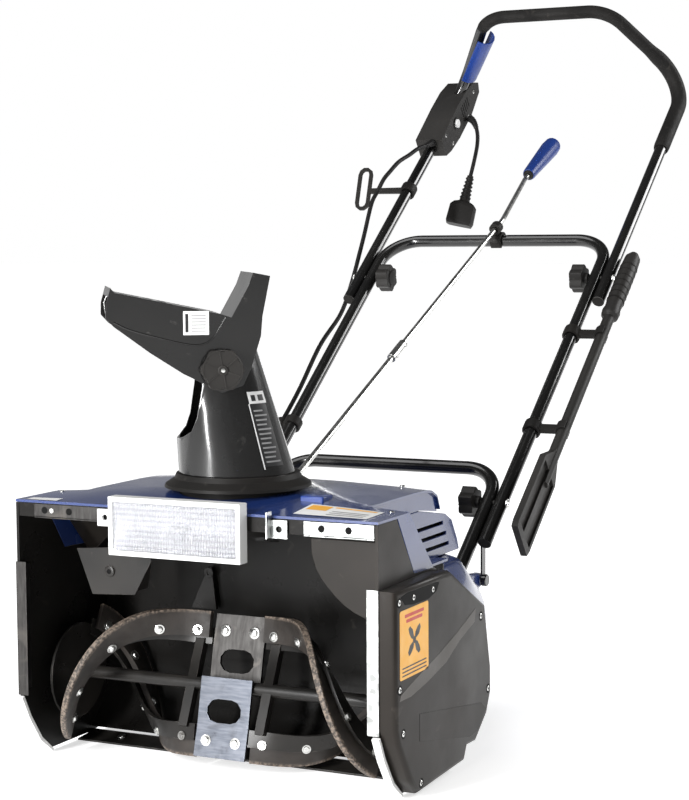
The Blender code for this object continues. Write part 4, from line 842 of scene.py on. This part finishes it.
SWITCH_X, SWITCH_HALF = -0.2068, 0.0247
CABLE_UPPER = mm([(-200, 914.4, 797.4), (-201, 898, 793), (-206.5, 870, 786), (-207.5, 835, 774),
                  (-209, 795, 761), (-212, 764, 743), (-216, 750.3, 731.2), (-224, 743.6, 711.7),
                  (-230, 732.8, 691.5), (-232, 709.8, 643.1), (-232, 694, 616.2)])
CABLE_LOWER = mm([(-232, 693.4, 615.2), (-232, 661, 564), (-231, 618, 515), (-224, 530, 469),
                  (-213, 440, 409), (-206.5, 366.4, 362.7), (-208.5, 310, 319), (-210.5, 260, 279),
                  (-210, 215, 245), (-204, 179, 219), (-196.5, 150, 199.5), (-190, 125, 184)])


def make_motor_cable():
    """The fixed cable from the switch box, through the hook and clip, into the rear shell."""
    upper = curve_through(CABLE_UPPER, 60)
    lower = curve_through(CABLE_LOWER, 70)
    curve_piece("cable_run_upper", upper, CABLE_R, cord_rubber, "upper_handle",
                ["motor_cable_upper"])
    curve_piece("cable_run_lower", lower, CABLE_R, cord_rubber, "machine",
                ["motor_cable_lower"])
    boot = between(upper, 0.0, 0.024, 0.001)
    radii = [0.0066 - 0.0024 * i / (len(boot) - 1) - 0.0004 * (i % 4 in (1, 2)) for i in range(len(boot))]
    Shape().sweep(boot, radii, 20).object("cable_boot", "upper_handle", cord_rubber, "black_plastic")


def make_switch_details():
    """Screws, button ring and rib marks on the switch box's inner face."""
    face = SWITCH_X + SWITCH_HALF
    shape = Shape()
    for s, h in ((0.282, 0.012), (0.43, 0.003), (0.385, -0.0185), (0.3, -0.0165)):
        shape.screw(on_handle(face - 0.0004, s, h), X_AXIS, 0.0034)
    shape.object("switch_screws", "upper_handle", [zinc, painted_shade], "bright_steel")
    rim = Shape()
    rim.turn(mm([(8.1, -1.5), (10.4, -1.5), (10.4, 0.8), (9.6, 1.6), (8.1, 1.2)]),
             on_handle(face, 0.33, 0.004), X_AXIS, 28)
    for k in range(5):
        rim.prism(stadium(0.0095, 0.0013, 4), on_handle(face - 0.0004, 0.366 + 0.008 * k, 0.003), ACROSS,
                  ALONG, 0.0011 * X_AXIS)
    rim.object("switch_rim", "upper_handle", matte_black, "black_plastic")


# ---------------------------------------------------------------- housing
FORWARD = -Y_AXIS
FLANGE_Z, BRACKET_Y = 0.3125, -0.22


def make_front_details():
    """Front flange, its left half painted dark as shade, with its holes as dark discs of painted shade, the
    housing's bolts, inner brackets with a painted-shade hole, and the liner.
    """
    flange, hole_shades, heads, inner = Shape(), Shape(), Shape(), Shape()
    # The left half (slot 1) is the same steel as the right half, painted dark as shade.
    for slot, (low, high) in ((1, (-0.215, -0.124)), (0, (0.15, 0.237))):
        flange.box((low, FRONT_Y - 0.0001, 0.305), (high, FRONT_Y + 0.001, 0.32), slot)
        flange.box((low, FRONT_Y - 0.0001, 0.303), (high, FRONT_Y + 0.008, 0.3042), slot)
    # Dark discs on the flange: painted shade for its holes.
    for x in (-0.2, -0.165, 0.172, 0.206):
        hole_shades.disc(0.0042, -0.0004, 0.0002, (x, FRONT_Y - 0.0001, FLANGE_Z), FORWARD)
    flange.object("front_flange", "machine", [galvanised, dull_and_shaded_plate], "bright_steel", bevel=0.0002)
    hole_shades.object("flange_hole_shades", "machine", painted_shade, "black_shell")
    for x in (-0.185, -0.085, 0.085, 0.185):
        heads.bolt((x, -0.1135, 0.0052), (0, -0.5, 1), 0.0038, 0.0022)
    heads.bolt((-0.1895, FRONT_Y - 0.0002, FLANGE_Z), FORWARD, 0.0022, 0.0012)
    heads.bolt((0.227, FRONT_Y - 0.0002, FLANGE_Z), FORWARD, 0.004, 0.0016)
    heads.object("housing_bolts", "machine", zinc, "bright_steel")

    bracket = mm([(-175.3, 264), (-153.6, 209.3), (-93.7, 212.7), (-69.3, 255.9), (-75.6, 263.3),
                  (-128.1, 268)])
    inner.along_y(bracket, BRACKET_Y, 0.0018)
    for x, foot in ((-0.1545, ((-0.2182, 0.2093), (-0.176, 0.2093))),
                    (-0.095, ((-0.2182, 0.216), (-0.19, 0.216)))):
        inner.along_x([(BRACKET_Y, 0.26), *foot, (-0.172, 0.28)], x, 0.0016)
    inner.along_y(mm([(-80.4, 224), (-75.5, 224), (-69, 170), (-105.7, 170)]),
                  -0.069, 0.004)
    inner.turn(mm([(3, 0), (7, 0), (7, 2), (5.8, 2.6), (3, 2.6)]),
               (-0.1281, BRACKET_Y, 0.239), FORWARD, 24)
    inner.turn(mm([(3, 0), (6.5, 0), (6.5, 1.6), (3, 1.6)]),
               (-0.079, -0.069, 0.217), FORWARD, 24)
    inner.object("inner_brackets", "machine", frame_paint, "black_paint", bevel=0.0004)
    # A dark disc on the bracket: painted shade for its hole.
    dark = Shape().disc(0.004, 0.0004, 0.0018, (-0.1281, BRACKET_Y, 0.239), FORWARD)
    dark.object("bracket_hole", "machine", painted_shade, "black_shell")
    liner = mm([(150, 298.5), (150.9, 280), (156, 264), (164, 251), (171.3, 243), (181, 233), (192, 224),
                (203.6, 217.1), (216, 212), (237, 208), (237, 298.5)])
    cheek = Shape().along_y(liner, -0.233, 0.0025)
    corner = mm([(-169, 315), (-104, 246), (-106, 244), (-171, 313)])
    for side in (-1, 1):
        cheek.along_x(corner, side * 0.1835 - 0.0535, 0.107)
    cheek.object("inner_cheek", "machine", brown_side, "black_shell", bevel=0.0006)


COVER_OUTLINE = mm([(-250, 90), (-250, 247), (-129, 249), (-95, 247.5), (12.8, 189), (32, 108), (32, 77),
                    (19, 52), (-16.5, 25.5), (-44.6, 26), (-54, 10), (-190, 6), (-213, 28), (-242, 72)])
COVER_BACK, COVER_FACE = 0.2426, 0.263


def make_belt_cover():
    """The belt cover with a rolled edge, its diagonal band painted lighter as a sheen, facet, finger recess
    as a dark sheet of painted shade, screws in dark wells of painted shade, and latch.
    """
    middle = Vector((-0.105, 0.13))

    def ring(shrink, x):
        return [(x, *(Vector(p) + (middle - Vector(p)).normalized() * shrink)) for p in COVER_OUTLINE]

    cover = Shape().skin([ring(0.0035, COVER_BACK), ring(0, COVER_BACK), ring(0, 0.2572),
                          ring(0.0006, 0.259), ring(0.0022, 0.2612), ring(0.0046, 0.2625),
                          ring(0.0075, COVER_FACE)])
    cover.object("belt_housing", "machine", brown_side, "black_shell", ["belt_cover"], sharp=50)
    # The diagonal band is a painted sheen: a thin raised sheet in the paler finish.
    band = mm([(-20, 190), (-23.5, 174), (-70, 160), (-110, 142), (-167.2, 129.7), (-210, 123),
               (-242, 123.3), (-238, 130), (-202.3, 139.6), (-135, 155), (-74.3, 172)])
    facet = mm([(-187, 98), (-2, 70), (13, 60), (-15, 38.5), (-40, 36), (-187, 66)])
    # The finger recess is a dark sheet standing just proud of the face: painted shade.
    recess = mm([(-238, 240), (-226, 229), (-202, 226), (-160, 225), (-138, 230), (-129, 240),
                 (-140, 241.5), (-220, 242.5)])
    for name, outline, sunk, depth, finish, bevel in (
            ("cover_sheen_band", band, 0.0002, 0.0005, cover_sheen_finish, 0.0002),
            ("cover_facet", facet, 0.0002, 0.0005, brown_side, 0.0002),
            ("cover_recess_shade", recess, 0.002, 0.0023, painted_shade, 0.0008)):
        piece = Shape().along_x(outline, COVER_FACE - sunk, depth)
        piece.object(name, "machine", finish, "black_shell", bevel=bevel)
    # Dark discs under the screws: painted shade for the wells they sit in.
    well_shades, screws = Shape(), Shape()
    for y, z in mm([(-240.5, 234), (-240, 136), (-231, 85), (-183, 17), (20, 83), (-3, 177), (-202, 234),
                    (-148, 234)]):
        well_shades.disc(0.0058, -0.001, 0.0001, (COVER_FACE, y, z), X_AXIS)
        screws.screw((COVER_FACE - 0.0005, y, z), X_AXIS, 0.0036)
    well_shades.object("cover_well_shades", "machine", painted_shade, "black_shell")
    screws.object("cover_screws", "machine", [zinc, painted_shade], "bright_steel")
    latch = Shape().box((0.244, -0.09, 0.01), (0.26, -0.06, 0.022))
    latch.object("cover_latch", "machine", blue_grip, "blue_plastic", bevel=0.002)
    make_cover_label()


def make_cover_label():
    """A blank amber panel with bars and a plain four-bladed symbol."""
    label = Shape()
    start = Vector((COVER_FACE - 0.0001, -0.201, 0.185))
    top = start + 0.0003 * X_AXIS
    label.prism(rounded_rectangle(0.078, 0.078, 0.003), start, Y_AXIS, Z_AXIS, 0.0004 * X_AXIS)
    bars = [(0.052, 0.0038, 0.001, 0.0315, 2), (0.044, 0.0038, 0.001, 0.0255, 2)]
    bars += [(0.066, 0.0016, 0.0006, -0.0265 - 0.0042 * row, 1) for row in range(3)]
    for width, height, radius, z, slot in bars:
        label.prism(rounded_rectangle(width, height, radius), top + z * Z_AXIS, Y_AXIS, Z_AXIS,
                    PRINT * X_AXIS, slot)
    petal = mm([(4, -2), (12, -5.5), (20.5, -4), (22, 1), (16, 3.5), (8, 4), (4, 2)])
    middle = top + 0.001 * Z_AXIS
    label.fan(petal, middle, Y_AXIS, Z_AXIS, PRINT * X_AXIS, 4, radians(45), 1)
    label.disc(0.004, 0, PRINT, middle, X_AXIS, 20, 1)
    label.object("cover_label", "machine", [amber, ink, red_ink], "black_shell")


DECK_Z, DECK_CROWN = 0.324, 0.012
DECK_RISE = [(FRONT_Y, 0.0), (-0.225, 0.004), (-0.19, 0.009), (-0.15, DECK_CROWN)]


def deck_height(x, y):
    """The crowned deck: flat along the front edge, then rising towards its middle."""
    rise = DECK_CROWN
    for (y0, r0), (y1, r1) in zip(DECK_RISE, DECK_RISE[1:]):
        if y <= y1:
            rise = r0 + (r1 - r0) * (y - y0) / (y1 - y0)
            break
    return DECK_Z + rise * (1 - (x / HALF_WIDTH) ** 2)


def deck_patch(shape, low, high, lift, slot, steps=8):
    """A thin sheet that lies on the crowned deck, between two (x, y) corners."""
    (x0, y0), (x1, y1) = low, high
    rows = []
    for i in range(steps + 1):
        x = x0 + (x1 - x0) * i / steps
        ys = [y0 + (y1 - y0) * j / steps for j in range(steps + 1)]
        rows.append([Vector((x, y, deck_height(x, y) + lift)) for y in ys])
    shape.grid(rows, slot)


def make_deck_details():
    """Generic labels on the deck, the blue latch behind its front edge, and screws."""
    shape, latch, heads = Shape(), Shape(), Shape()
    deck_patch(shape, (0.13, -0.238), (0.222, -0.19), 0.0004, 0)
    deck_patch(shape, (0.134, -0.215), (0.16, -0.194), 0.0006, 1)
    deck_patch(shape, (0.164, -0.199), (0.216, -0.194), 0.0006, 1)
    for row in range(3):
        y = -0.232 + 0.008 * row
        deck_patch(shape, (0.168, y), (0.214, y + 0.003), 0.0006, 2)
    deck_patch(shape, (-0.228, -0.247), (-0.185, -0.233), 0.0004, 3)
    shape.object("deck_labels", "machine", [pale_print, amber, grey_ink, pale_print], "black_shell")
    for low, high in (((0.108, -0.178, 0.3295), (0.138, -0.162, 0.3375)),
                      ((0.12, -0.17, 0.3295), (0.132, -0.14, 0.335))):
        latch.box(low, high)
    latch.object("deck_latch", "machine", blue_grip, "blue_plastic", bevel=0.0015)
    for x, y in ((-0.222, -0.18), (0.226, -0.18), (-0.16, -0.005), (0.16, -0.005)):
        heads.screw((x, y, deck_height(x, y) + PRINT), Z_AXIS, 0.0036)
    heads.object("deck_screws", "machine", [zinc, painted_shade], "bright_steel")


def make_rear_shell():
    """The rear shell as a smooth loft, the axle's lugs and dark sheets inside the vents as painted shade
    behind the slots.
    """

    def section(z, inset=0.0):
        over = max(0.0, (z - 0.15) / 0.08)
        low = max(0.0, (0.15 - z) / 0.1)
        widest = 0.2372 - 0.012 * over ** 3
        half = [(widest, -0.0535), (widest, 0.04),
                (0.2215 - 0.022 * over ** 2 + 0.006 * low, 0.118 - 0.045 * over ** 2),
                (0.197 - 0.04 * over ** 2 + 0.004 * low, 0.172 - 0.07 * over ** 2 + 0.004 * low),
                (0.168 - 0.05 * over ** 2, 0.222 - 0.085 * over ** 2 + 0.008 * low),
                (0.115 - 0.04 * over ** 2, 0.248 - 0.09 * over ** 2 + 0.008 * low)]
        half = [Vector((x - inset, y - (inset if i > 0 else 0), 0)) for i, (x, y) in enumerate(half)]
        line = half + [Vector((-p.x, p.y, 0)) for p in reversed(half)]
        for _ in range(3):
            cut_line = [line[0]]
            for a, b in zip(line, line[1:]):
                cut_line += [a.lerp(b, 0.25), a.lerp(b, 0.75)]
            line = cut_line + [line[-1]]
        return [Vector((p.x, p.y, z)) for p in line]

    levels = [0.05, 0.075, 0.1, 0.125, 0.15, 0.165, 0.18, 0.193, 0.205, 0.215, 0.225, 0.232]
    rows = [section(z) for z in levels]
    for z, inset in ((0.2355, 0.0012), (0.2372, 0.003), (0.238, 0.006), (0.238, 0.02)):
        rows.append([Vector((p.x, p.y, z)) for p in section(0.234, inset)])
    shape = Shape().grid(rows)
    shell = shape.object("shell_body", "machine", blue_shell, "blue_shell", ["rear_shell"], sharp=60)
    add_wall(shell, 0.003, -1)
    lugs, vent_shades = Shape(), Shape()
    lug = mm([(185, 160), (238, 165), (247, 175), (238, 185), (185, 190)])
    # Dark sheets inside the hump: painted shade behind its vent slots.
    vent_shade_outline = mm([(-44, 242), (-44, 295), (-20, 295), (56, 283), (74, 274), (90, 250), (93, 242)])
    for side in (-1, 1):
        lugs.along_x(lug, side * 0.16 - 0.0055, 0.011)
        vent_shades.along_x(vent_shade_outline, side * 0.175 - 0.0008, 0.0016)
    lugs.object("shell_lugs", "machine", blue_shell, "blue_shell", bevel=0.003)
    vent_shades.object("vent_shade_sheets", "machine", painted_shade, "black_shell")


LAMP_BOX, LAMP_RIM, LAMP_BEAD = (-0.0985, 0.078, 0.268, 0.337), 0.0063, 0.0035
LENS_Y, LENS_GRID = -0.265, (232, 45)
RIBS, RIB_DEPTH, FLUTES, FLUTE_DEPTH = 9, 0.0016, 46, 0.0008


def make_lamp():
    """Ribbed lens, reflector trough and bulb in the headlight, and its bezel bead."""
    x0, x1, z0, z1 = LAMP_BOX
    left, right, low, high = x0 + LAMP_RIM, x1 - LAMP_RIM, z0 + LAMP_RIM, z1 - LAMP_RIM
    columns, rows = LENS_GRID
    sheet = []
    for i in range(rows + 1):
        z = low + (high - low) * i / rows
        rib = RIB_DEPTH * abs(sin(pi * RIBS * i / rows))
        flutes = [FLUTE_DEPTH * cos(2 * pi * FLUTES * j / columns) for j in range(columns + 1)]
        sheet.append([Vector((left + (right - left) * j / columns, LENS_Y - rib - flute, z))
                      for j, flute in enumerate(flutes)])
    lens = Shape().grid(sheet).object("lens_ribbed", "machine", clear_lens, "clear_lens", ["lamp_lens"],
                                      sharp=80)
    add_wall(lens, 0.0008, 1)
    bowl = []
    for i in range(15):
        t = -1 + 2 * i / 14
        z = (low + high) / 2 + t * (high - low) / 2 * 0.99
        bowl.append([Vector((left + (right - left) * j / 24, -0.2575 - 0.0055 * t * t
                             - 0.004 * (2 * j / 24 - 1) ** 6, z)) for j in range(25)])
    Shape().grid(bowl).object("lamp_reflector", "machine", reflector, "lamp_bezel", sharp=80)
    bulb = Shape().turn(mm([(0, -16), (1.8, -15), (2.5, -12), (2.5, 12), (1.8, 15), (0, 16)]),
                        (-0.01, -0.2605, 0.3025), X_AXIS, 16)
    bulb.object("lamp_bulb", "machine", pale_print, "clear_lens")
    bead = Shape()
    x0, x1, z0, z1 = x0 + LAMP_BEAD, x1 - LAMP_BEAD, z0 + LAMP_BEAD, z1 - LAMP_BEAD
    loop = [Vector((x, -0.2678, z)) for x, z in ((x0, z0), (x1, z0), (x1, z1), (x0, z1))]
    for a, b in zip(loop, loop[1:] + loop[:1]):
        bead.sweep([a, b], 0.0007, 8)
    bead.object("lamp_bead", "machine", white_shell, "lamp_bezel")


# ---------------------------------------------------------------- auger and wheels
def band_frame(side, phase, t):
    """Middle of a band at t of its length, its outward direction, and its normal on the strip's side."""
    angle = radians(phase - BAND_TURN * t * t)
    out = Vector((0, -cos(angle), sin(angle)))
    across = Vector((0, out.z, -out.y))
    lean = 2 * radians(BAND_TURN) * t * BAND_MID_R
    normal = (BAND_REACH * across + Vector((side * lean, 0, 0))).normalized()
    return SHAFT + Vector((side * (BAND_START + BAND_REACH * t), 0, 0)), out, normal


BAND_STEPS, BAND_BOLTS = 56, (0.09, 0.34, 0.6, 0.82, 0.965)
BAND_SECTION = mm([(56, 0.4), (86.6, 0), (87.8, 0.8), (88, 3.9), (87.8, 7), (86.6, 7.8), (56, 7.4)])
PLATE_BOLT_X, PLATE_BOLT_R = 0.02, 0.066


def make_auger():
    """Rubber bands with rounded edges and their bolts, and the plates' bolts and nuts."""
    bolts, nuts = Shape(), Shape()
    for word, phase in (("upper", UPPER_PHASE), ("lower", LOWER_PHASE)):
        for side, half in SIDES:
            rings = []
            for i in range(BAND_STEPS + 1):
                middle, out, normal = band_frame(side, phase, (i / BAND_STEPS) ** 0.7)
                rings.append([middle + out * radius + normal * push for radius, push in BAND_SECTION])
            Shape().skin(rings).object(f"band_{word}_{half}", "auger", blade_rubber, "rubber",
                                       [f"rubber_blade_{word}_{half}"], sharp=40)
            for t in BAND_BOLTS:
                middle, out, normal = band_frame(side, phase, t)
                near = middle + out * BAND_MID_R
                bolts.bolt(near, -normal, 0.0044, 0.0032)
                nuts.hexagon(near + normal * 0.014, normal, 0.004, 0.0032)
        out = Vector((0, -cos(radians(phase)), sin(radians(phase))))
        across = Vector((0, out.z, -out.y))
        for x in (-PLATE_BOLT_X, PLATE_BOLT_X):
            near = SHAFT + x * X_AXIS + PLATE_BOLT_R * out
            bolts.bolt(near + 0.0101 * across, -across, 0.005, 0.0036)
            nuts.hexagon(near + 0.0141 * across, across, 0.005, 0.0036)
    bolts.object("auger_bolts", "auger", zinc, "bright_steel")
    nuts.object("auger_nuts", "auger", zinc, "bright_steel")


WHEEL_HALF, AXLE_HALF, TREAD_STEPS = 0.017, 0.1725, 72
TYRE_RADII = 0.0698, 0.0675, 0.0655, 0.048


def make_wheels():
    """Tyres with a block tread on spoked hubs, and the axle's end caps."""
    half, (top, floor, edge, bore) = WHEEL_HALF, TYRE_RADII
    for side, word in SIDES:
        centre = AXLE + side * WHEEL_X * X_AXIS
        rings = []
        for x, tread, plain in ((-half, edge, edge), (-half + 0.0035, top, floor), (-0.0015, top, floor),
                                (-0.0012, floor, floor), (0.0012, floor, floor), (0.0015, floor, top),
                                (half - 0.0035, floor, top), (half, edge, edge), (half, bore, bore),
                                (-half, bore, bore)):
            ring = []
            for k in range(TREAD_STEPS):
                angle = 2 * pi * k / TREAD_STEPS
                radius = tread if k % 4 < 2 else plain
                ring.append(centre + Vector((x, radius * cos(angle), radius * sin(angle))))
            rings.append(ring)
        Shape().skin(rings, closed=True).object(f"tyre_{word}", f"wheel_{word}", tyre_rubber, "tyre",
                                                [f"wheel_{word}"], sharp=30)
        hub = Shape()
        hub.turn([(0.0056, -half), (0.016, -half), (0.018, -0.006), (0.018, 0.006), (0.016, half),
                  (0.0056, half)], centre, X_AXIS, 32)
        hub.turn(mm([(44, -15), (48.2, -16.5), (48.2, 16.5), (44, 15)]), centre, X_AXIS, 48)
        hub.turn(mm([(15, -3), (46, -3), (46, 3), (15, 3)]), centre, X_AXIS, 48)
        spoke = mm([(15, -2.2), (45.5, -1.6), (45.5, 1.6), (15, 2.2)])
        hub.fan(spoke, centre - 0.0095 * X_AXIS, Y_AXIS, Z_AXIS, 0.019 * X_AXIS, 6)
        hub.object(f"hub_{word}", f"wheel_{word}", matte_black, "black_plastic")
    caps = Shape()
    for side in (-1, 1):
        caps.turn(mm([(0, 0), (8, 0), (8, 1.6), (5, 3.6), (0, 4)]), AXLE + side * AXLE_HALF * X_AXIS,
                  side * X_AXIS, 20)
    caps.object("axle_caps", "machine", zinc, "bright_steel")


# ---------------------------------------------------------------- chute
TUBE_FOOT_Z, TUBE_TOP_Z = 0.3564, 0.513
HOOD_WALL_W, HOOD_LIFT, TILT_KNOB_W = 0.0623, 0.0005, 0.0782


def tube_wall(t, angle, out):
    """A point on the chute tube's outer wall, t from its foot to its top, pushed out a little."""
    z = TUBE_FOOT_Z + (TUBE_TOP_Z - TUBE_FOOT_Z) * t
    back, front, half = -0.069 + 0.048 * t, 0.0715 + 0.008 * t, 0.0665 - 0.0125 * t
    middle, reach = (front + back) / 2, (front - back) / 2
    return chute_point(middle + (reach + out) * cos(angle), (half + out) * sin(angle), z)


def make_chute_details():
    """The tube's label, the hood's labels and beads, and the tilt knob's ribs, pin and nut."""
    label, tag, bead, knob = Shape(), Shape(), Shape(), Shape()
    for t0, t1, a0, a1, out, slot in (
            (0.07, 0.545, 114, 139, 0.0004, 1), (0.545, 0.635, 114, 141, 0.0004, 0),
            (0.05, 0.545, 112.6, 114, 0.0004, 0), (0.565, 0.61, 118, 124, 0.0006, 1),
            (0.565, 0.61, 128, 137, 0.0006, 1),
            *((0.1 + 0.035 * row, 0.1 + 0.035 * row + 0.012, 117, 136 - (row * 5) % 7, 0.0006, 2)
              for row in range(12))):
        label.grid([[tube_wall(t0 + (t1 - t0) * i / 10, radians(a0 + (a1 - a0) * j / 8), out)
                     for j in range(9)] for i in range(11)], slot)
    label.object("tube_label", "chute", [pale_print, ink, grey_ink], "chute_black")

    top = mm([(150, 574.5), (90, 561.9), (25, 548.4)])

    def roof(q):
        for (q1, z1), (q0, z0) in zip(top, top[1:]):
            if q >= q0:
                return z0 + (z1 - z0) * (q - q0) / (q1 - q0)
        return top[-1][1]

    def wall_patch(q0, q1, z0, z1, slot, out=0.0):
        tag.grid([[chute_point(q, HOOD_WALL_W + out, z) for q in (q0, q1)] for z in (z0, z1)], slot)

    def roof_patch(q0, q1, w0, w1, slot, out=0.0):
        steps = [q0 + (q1 - q0) * i / 6 for i in range(7)]
        tag.grid([[chute_point(q, w, roof(q) + HOOD_LIFT + out) for q in steps] for w in (w0, w1)], slot)

    wall_patch(0.0395, 0.0695, 0.5243, 0.552, 0)
    roof_patch(0.0395, 0.0695, 0.0623, 0.038, 0)
    for row in range(6):
        z = 0.528 + 0.0036 * row
        wall_patch(0.043, 0.06, z, z + 0.0014, 2, PRINT)
    wall_patch(0.0635, 0.067, 0.5275, 0.549, 1, PRINT)
    roof_patch(0.043, 0.066, 0.056, 0.053, 2, PRINT)
    roof_patch(0.043, 0.066, 0.049, 0.046, 2, PRINT)
    roof_patch(0.079, 0.145, 0.061, 0.024, 0)
    for k in range(3):
        q = 0.088 + 0.016 * k
        roof_patch(q, q + 0.01, 0.054 - 0.004 * k, 0.034, 1, PRINT)
    roof_patch(0.133, 0.141, 0.056, 0.03, 2, PRINT)
    tag.object("hood_labels", "deflector", [pale_print, ink, grey_ink], "chute_black")

    outline = mm([(20, 544), (24.5, 536), (33, 523), (44.5, 514), (62, 513), (96.7, 521), (131.2, 531),
                  (150, 540)])
    rim = mm([(153, 546), (154.5, 560), (150, 570)])
    for w in (-0.062, 0.062):
        bead.sweep(curve_through([chute_point(q, w, z) for q, z in outline], 30), 0.0011, 10)
    for w in (-0.06, 0.06):
        bead.sweep([chute_point(q, w, z) for q, z in rim], 0.0013, 10)
    bead.object("hood_beads", "deflector", chute_gloss, "chute_black")

    base = chute_point(TILT_Q, TILT_KNOB_W, TILT_Z)
    rib = mm([(6, -0.6), (22, -0.6), (22, 0.6), (6, 0.6)])
    knob.fan(rib, base, DISCHARGE, Z_AXIS, 0.0012 * NEAR_SIDE, 6, 0.35)
    knob.turn(mm([(22.5, 0), (23.8, 0), (23.8, 1), (22.5, 1)]), base, NEAR_SIDE, 48)
    knob.turn(mm([(0, 0), (6, 0), (6, 1.6), (5, 2.4), (0, 2.4)]), base, NEAR_SIDE, 28)
    knob.object("tilt_knob_ribs", "deflector_knob", knob_black, "black_plastic")
    pin = Shape().turn(mm([(0, 2), (2.6, 2), (2.4, 3.4), (0, 4)]), base, NEAR_SIDE, 16)
    pin.object("tilt_knob_pin", "deflector_knob", zinc, "bright_steel")
    far = Shape().hexagon(chute_point(TILT_Q, -0.0655, TILT_Z), -NEAR_SIDE, 0.0055, 0.0035)
    far.object("tilt_pivot_nut", "chute", zinc, "bright_steel")


# ---------------------------------------------------------------- knobs, tool, crank
KNOB_FACE_IN = 0.0353
ROD_REACH, ARM_X, ARM_DROP = 1.148, -0.062, 0.044
TOOL_X, TOOL_GRIP_S = 0.2335, -0.15


def make_knob_details():
    """A raised boss and six ribs on each clamp knob's face."""
    boss = mm([(0, 0), (12, 0), (11.2, 1.6), (6, 2.2), (0, 2.2)])
    rib = mm([(10, -0.8), (16.5, -0.8), (16.5, 0.8), (10, 0.8)])
    for s, place, start in ((KNOB_UPPER_S, "upper", MIDDLE_X), (KNOB_LOWER_S, "lower", LOWER_X)):
        for side, word in SIDES:
            base = on_handle(side * (start - KNOB_FACE_IN), s)
            shape = Shape().turn(boss, base, -side * X_AXIS, 32)
            shape.fan(rib, base, ALONG, ACROSS, -0.0008 * side * X_AXIS, 6, pi / 6)
            shape.object(f"knob_face_{place}_{word}", f"knob_{place}_{word}", matte_black, "black_plastic")


def make_crank_details():
    """The grip's collar at the arm, and the pins that join the rod's two lengths."""
    up = Vector((0, sin(ROD_SLOPE), -cos(ROD_SLOPE)))
    start = PINION + ROD_REACH * ROD + ARM_X * X_AXIS + ARM_DROP * up
    ring = Shape().turn(mm([(4.5, -3.5), (6.2, -3.5), (9.2, -0.4), (9.2, 0.4), (4.5, 0.4)]), start, ROD, 24)
    ring.object("grip_ring", "crank", matte_black, "black_plastic")
    pins = Shape()
    for reach in (0.399, 0.432):
        pins.disc(0.002, -0.008, 0.008, PINION + reach * ROD, X_AXIS, 12)
    pins.object("sleeve_pins", "crank", zinc, "bright_steel")


def make_tool_details():
    """Rings along the clean-out tool's grip."""
    shape = Shape()
    for k in range(7):
        shape.turn(mm([(11, -1.6), (13.6, -1), (13.6, 1), (11, 1.6)]),
                   on_handle(TOOL_X, TOOL_GRIP_S + 0.013 * k), ALONG, 24)
    shape.object("tool_grip_ribs", "clean_out_tool", matte_black, "black_plastic")


# ---------------------------------------------------------------- stage
WALL_LIGHT, SKY_LIGHT, REFLECTED_SHARE = 1.0, 0.2, 0.35
LIGHTS = (
    ("soft_sun", "SUN", (-1.0, -1.2, 3.2), (0, 0, 0), 45, 1.35),
    ("strip", "AREA", (-0.75, -3.0, 1.1), (0, 0, 0.45), (0.26, 2.0), 150),
    ("rim", "AREA", (2.0, 2.6, 1.9), (0, 0.4, 0.4), (1.2, 1.4), 50),
)


def make_stage():
    """Pale floor, background and lights."""
    mesh = bpy.data.meshes.new("floor")
    mesh.from_pydata([(-40, -40, 0), (40, -40, 0), (40, 40, 0), (-40, 40, 0)], [], [(0, 1, 2, 3)])
    pale = Finish("floor", 0.6, Emission_Color=(1, 1, 1, 1), Emission_Strength=0.63)
    pale.colour(pale.tone(0.8, 3, (0.9, 0.9, 0.9), (0.92, 0.92, 0.92), 0.3))
    mesh.materials.append(pale.material)
    floor = placed("floor", mesh)
    floor.location.z = -0.0004
    make_world()
    for name, kind, place, aim, size, power in LIGHTS:
        data = bpy.data.lights.new(name, kind)
        data.energy = power
        if kind == "AREA":
            data.shape = "RECTANGLE"
            data.size, data.size_y = size
        else:
            data.angle = radians(size)
        made = placed(name, data)
        made.location = place
        made.rotation_euler = (Vector(aim) - Vector(place)).to_track_quat("-Z", "Y").to_euler()


def make_world():
    """A pale wall round the floor, dimmer overhead and in reflections."""
    world = bpy.data.worlds.new("studio")
    world.use_nodes = True
    tree = world.node_tree
    place = tree.nodes.new("ShaderNodeTexCoord")
    split = tree.nodes.new("ShaderNodeSeparateXYZ")
    fall = tree.nodes.new("ShaderNodeMapRange")
    for i, value in enumerate((0.12, 0.45, WALL_LIGHT, SKY_LIGHT)):
        fall.inputs[i + 1].default_value = value
    tree.links.new(place.outputs["Generated"], split.inputs[0])
    tree.links.new(split.outputs["Z"], fall.inputs[0])
    tree.nodes["Background"].inputs["Color"].default_value = (1, 1, 1, 1)
    rays = tree.nodes.new("ShaderNodeLightPath")
    share = tree.nodes.new("ShaderNodeMapRange")
    share.inputs[3].default_value = REFLECTED_SHARE
    dimmed = tree.nodes.new("ShaderNodeMath")
    dimmed.operation = "MULTIPLY"
    tree.links.new(rays.outputs["Is Camera Ray"], share.inputs[0])
    tree.links.new(fall.outputs[0], dimmed.inputs[0])
    tree.links.new(share.outputs[0], dimmed.inputs[1])
    tree.links.new(dimmed.outputs[0], tree.nodes["Background"].inputs["Strength"])
    bpy.context.scene.world = world


make_camera()
make_power_cord()
dress_frame()
make_tubes()
make_foam_grip()
make_motor_cable()
make_switch_details()
make_front_details()
make_belt_cover()
make_deck_details()
make_rear_shell()
make_lamp()
make_auger()
make_wheels()
make_chute_details()
make_knob_details()
make_crank_details()
make_tool_details()
make_stage()
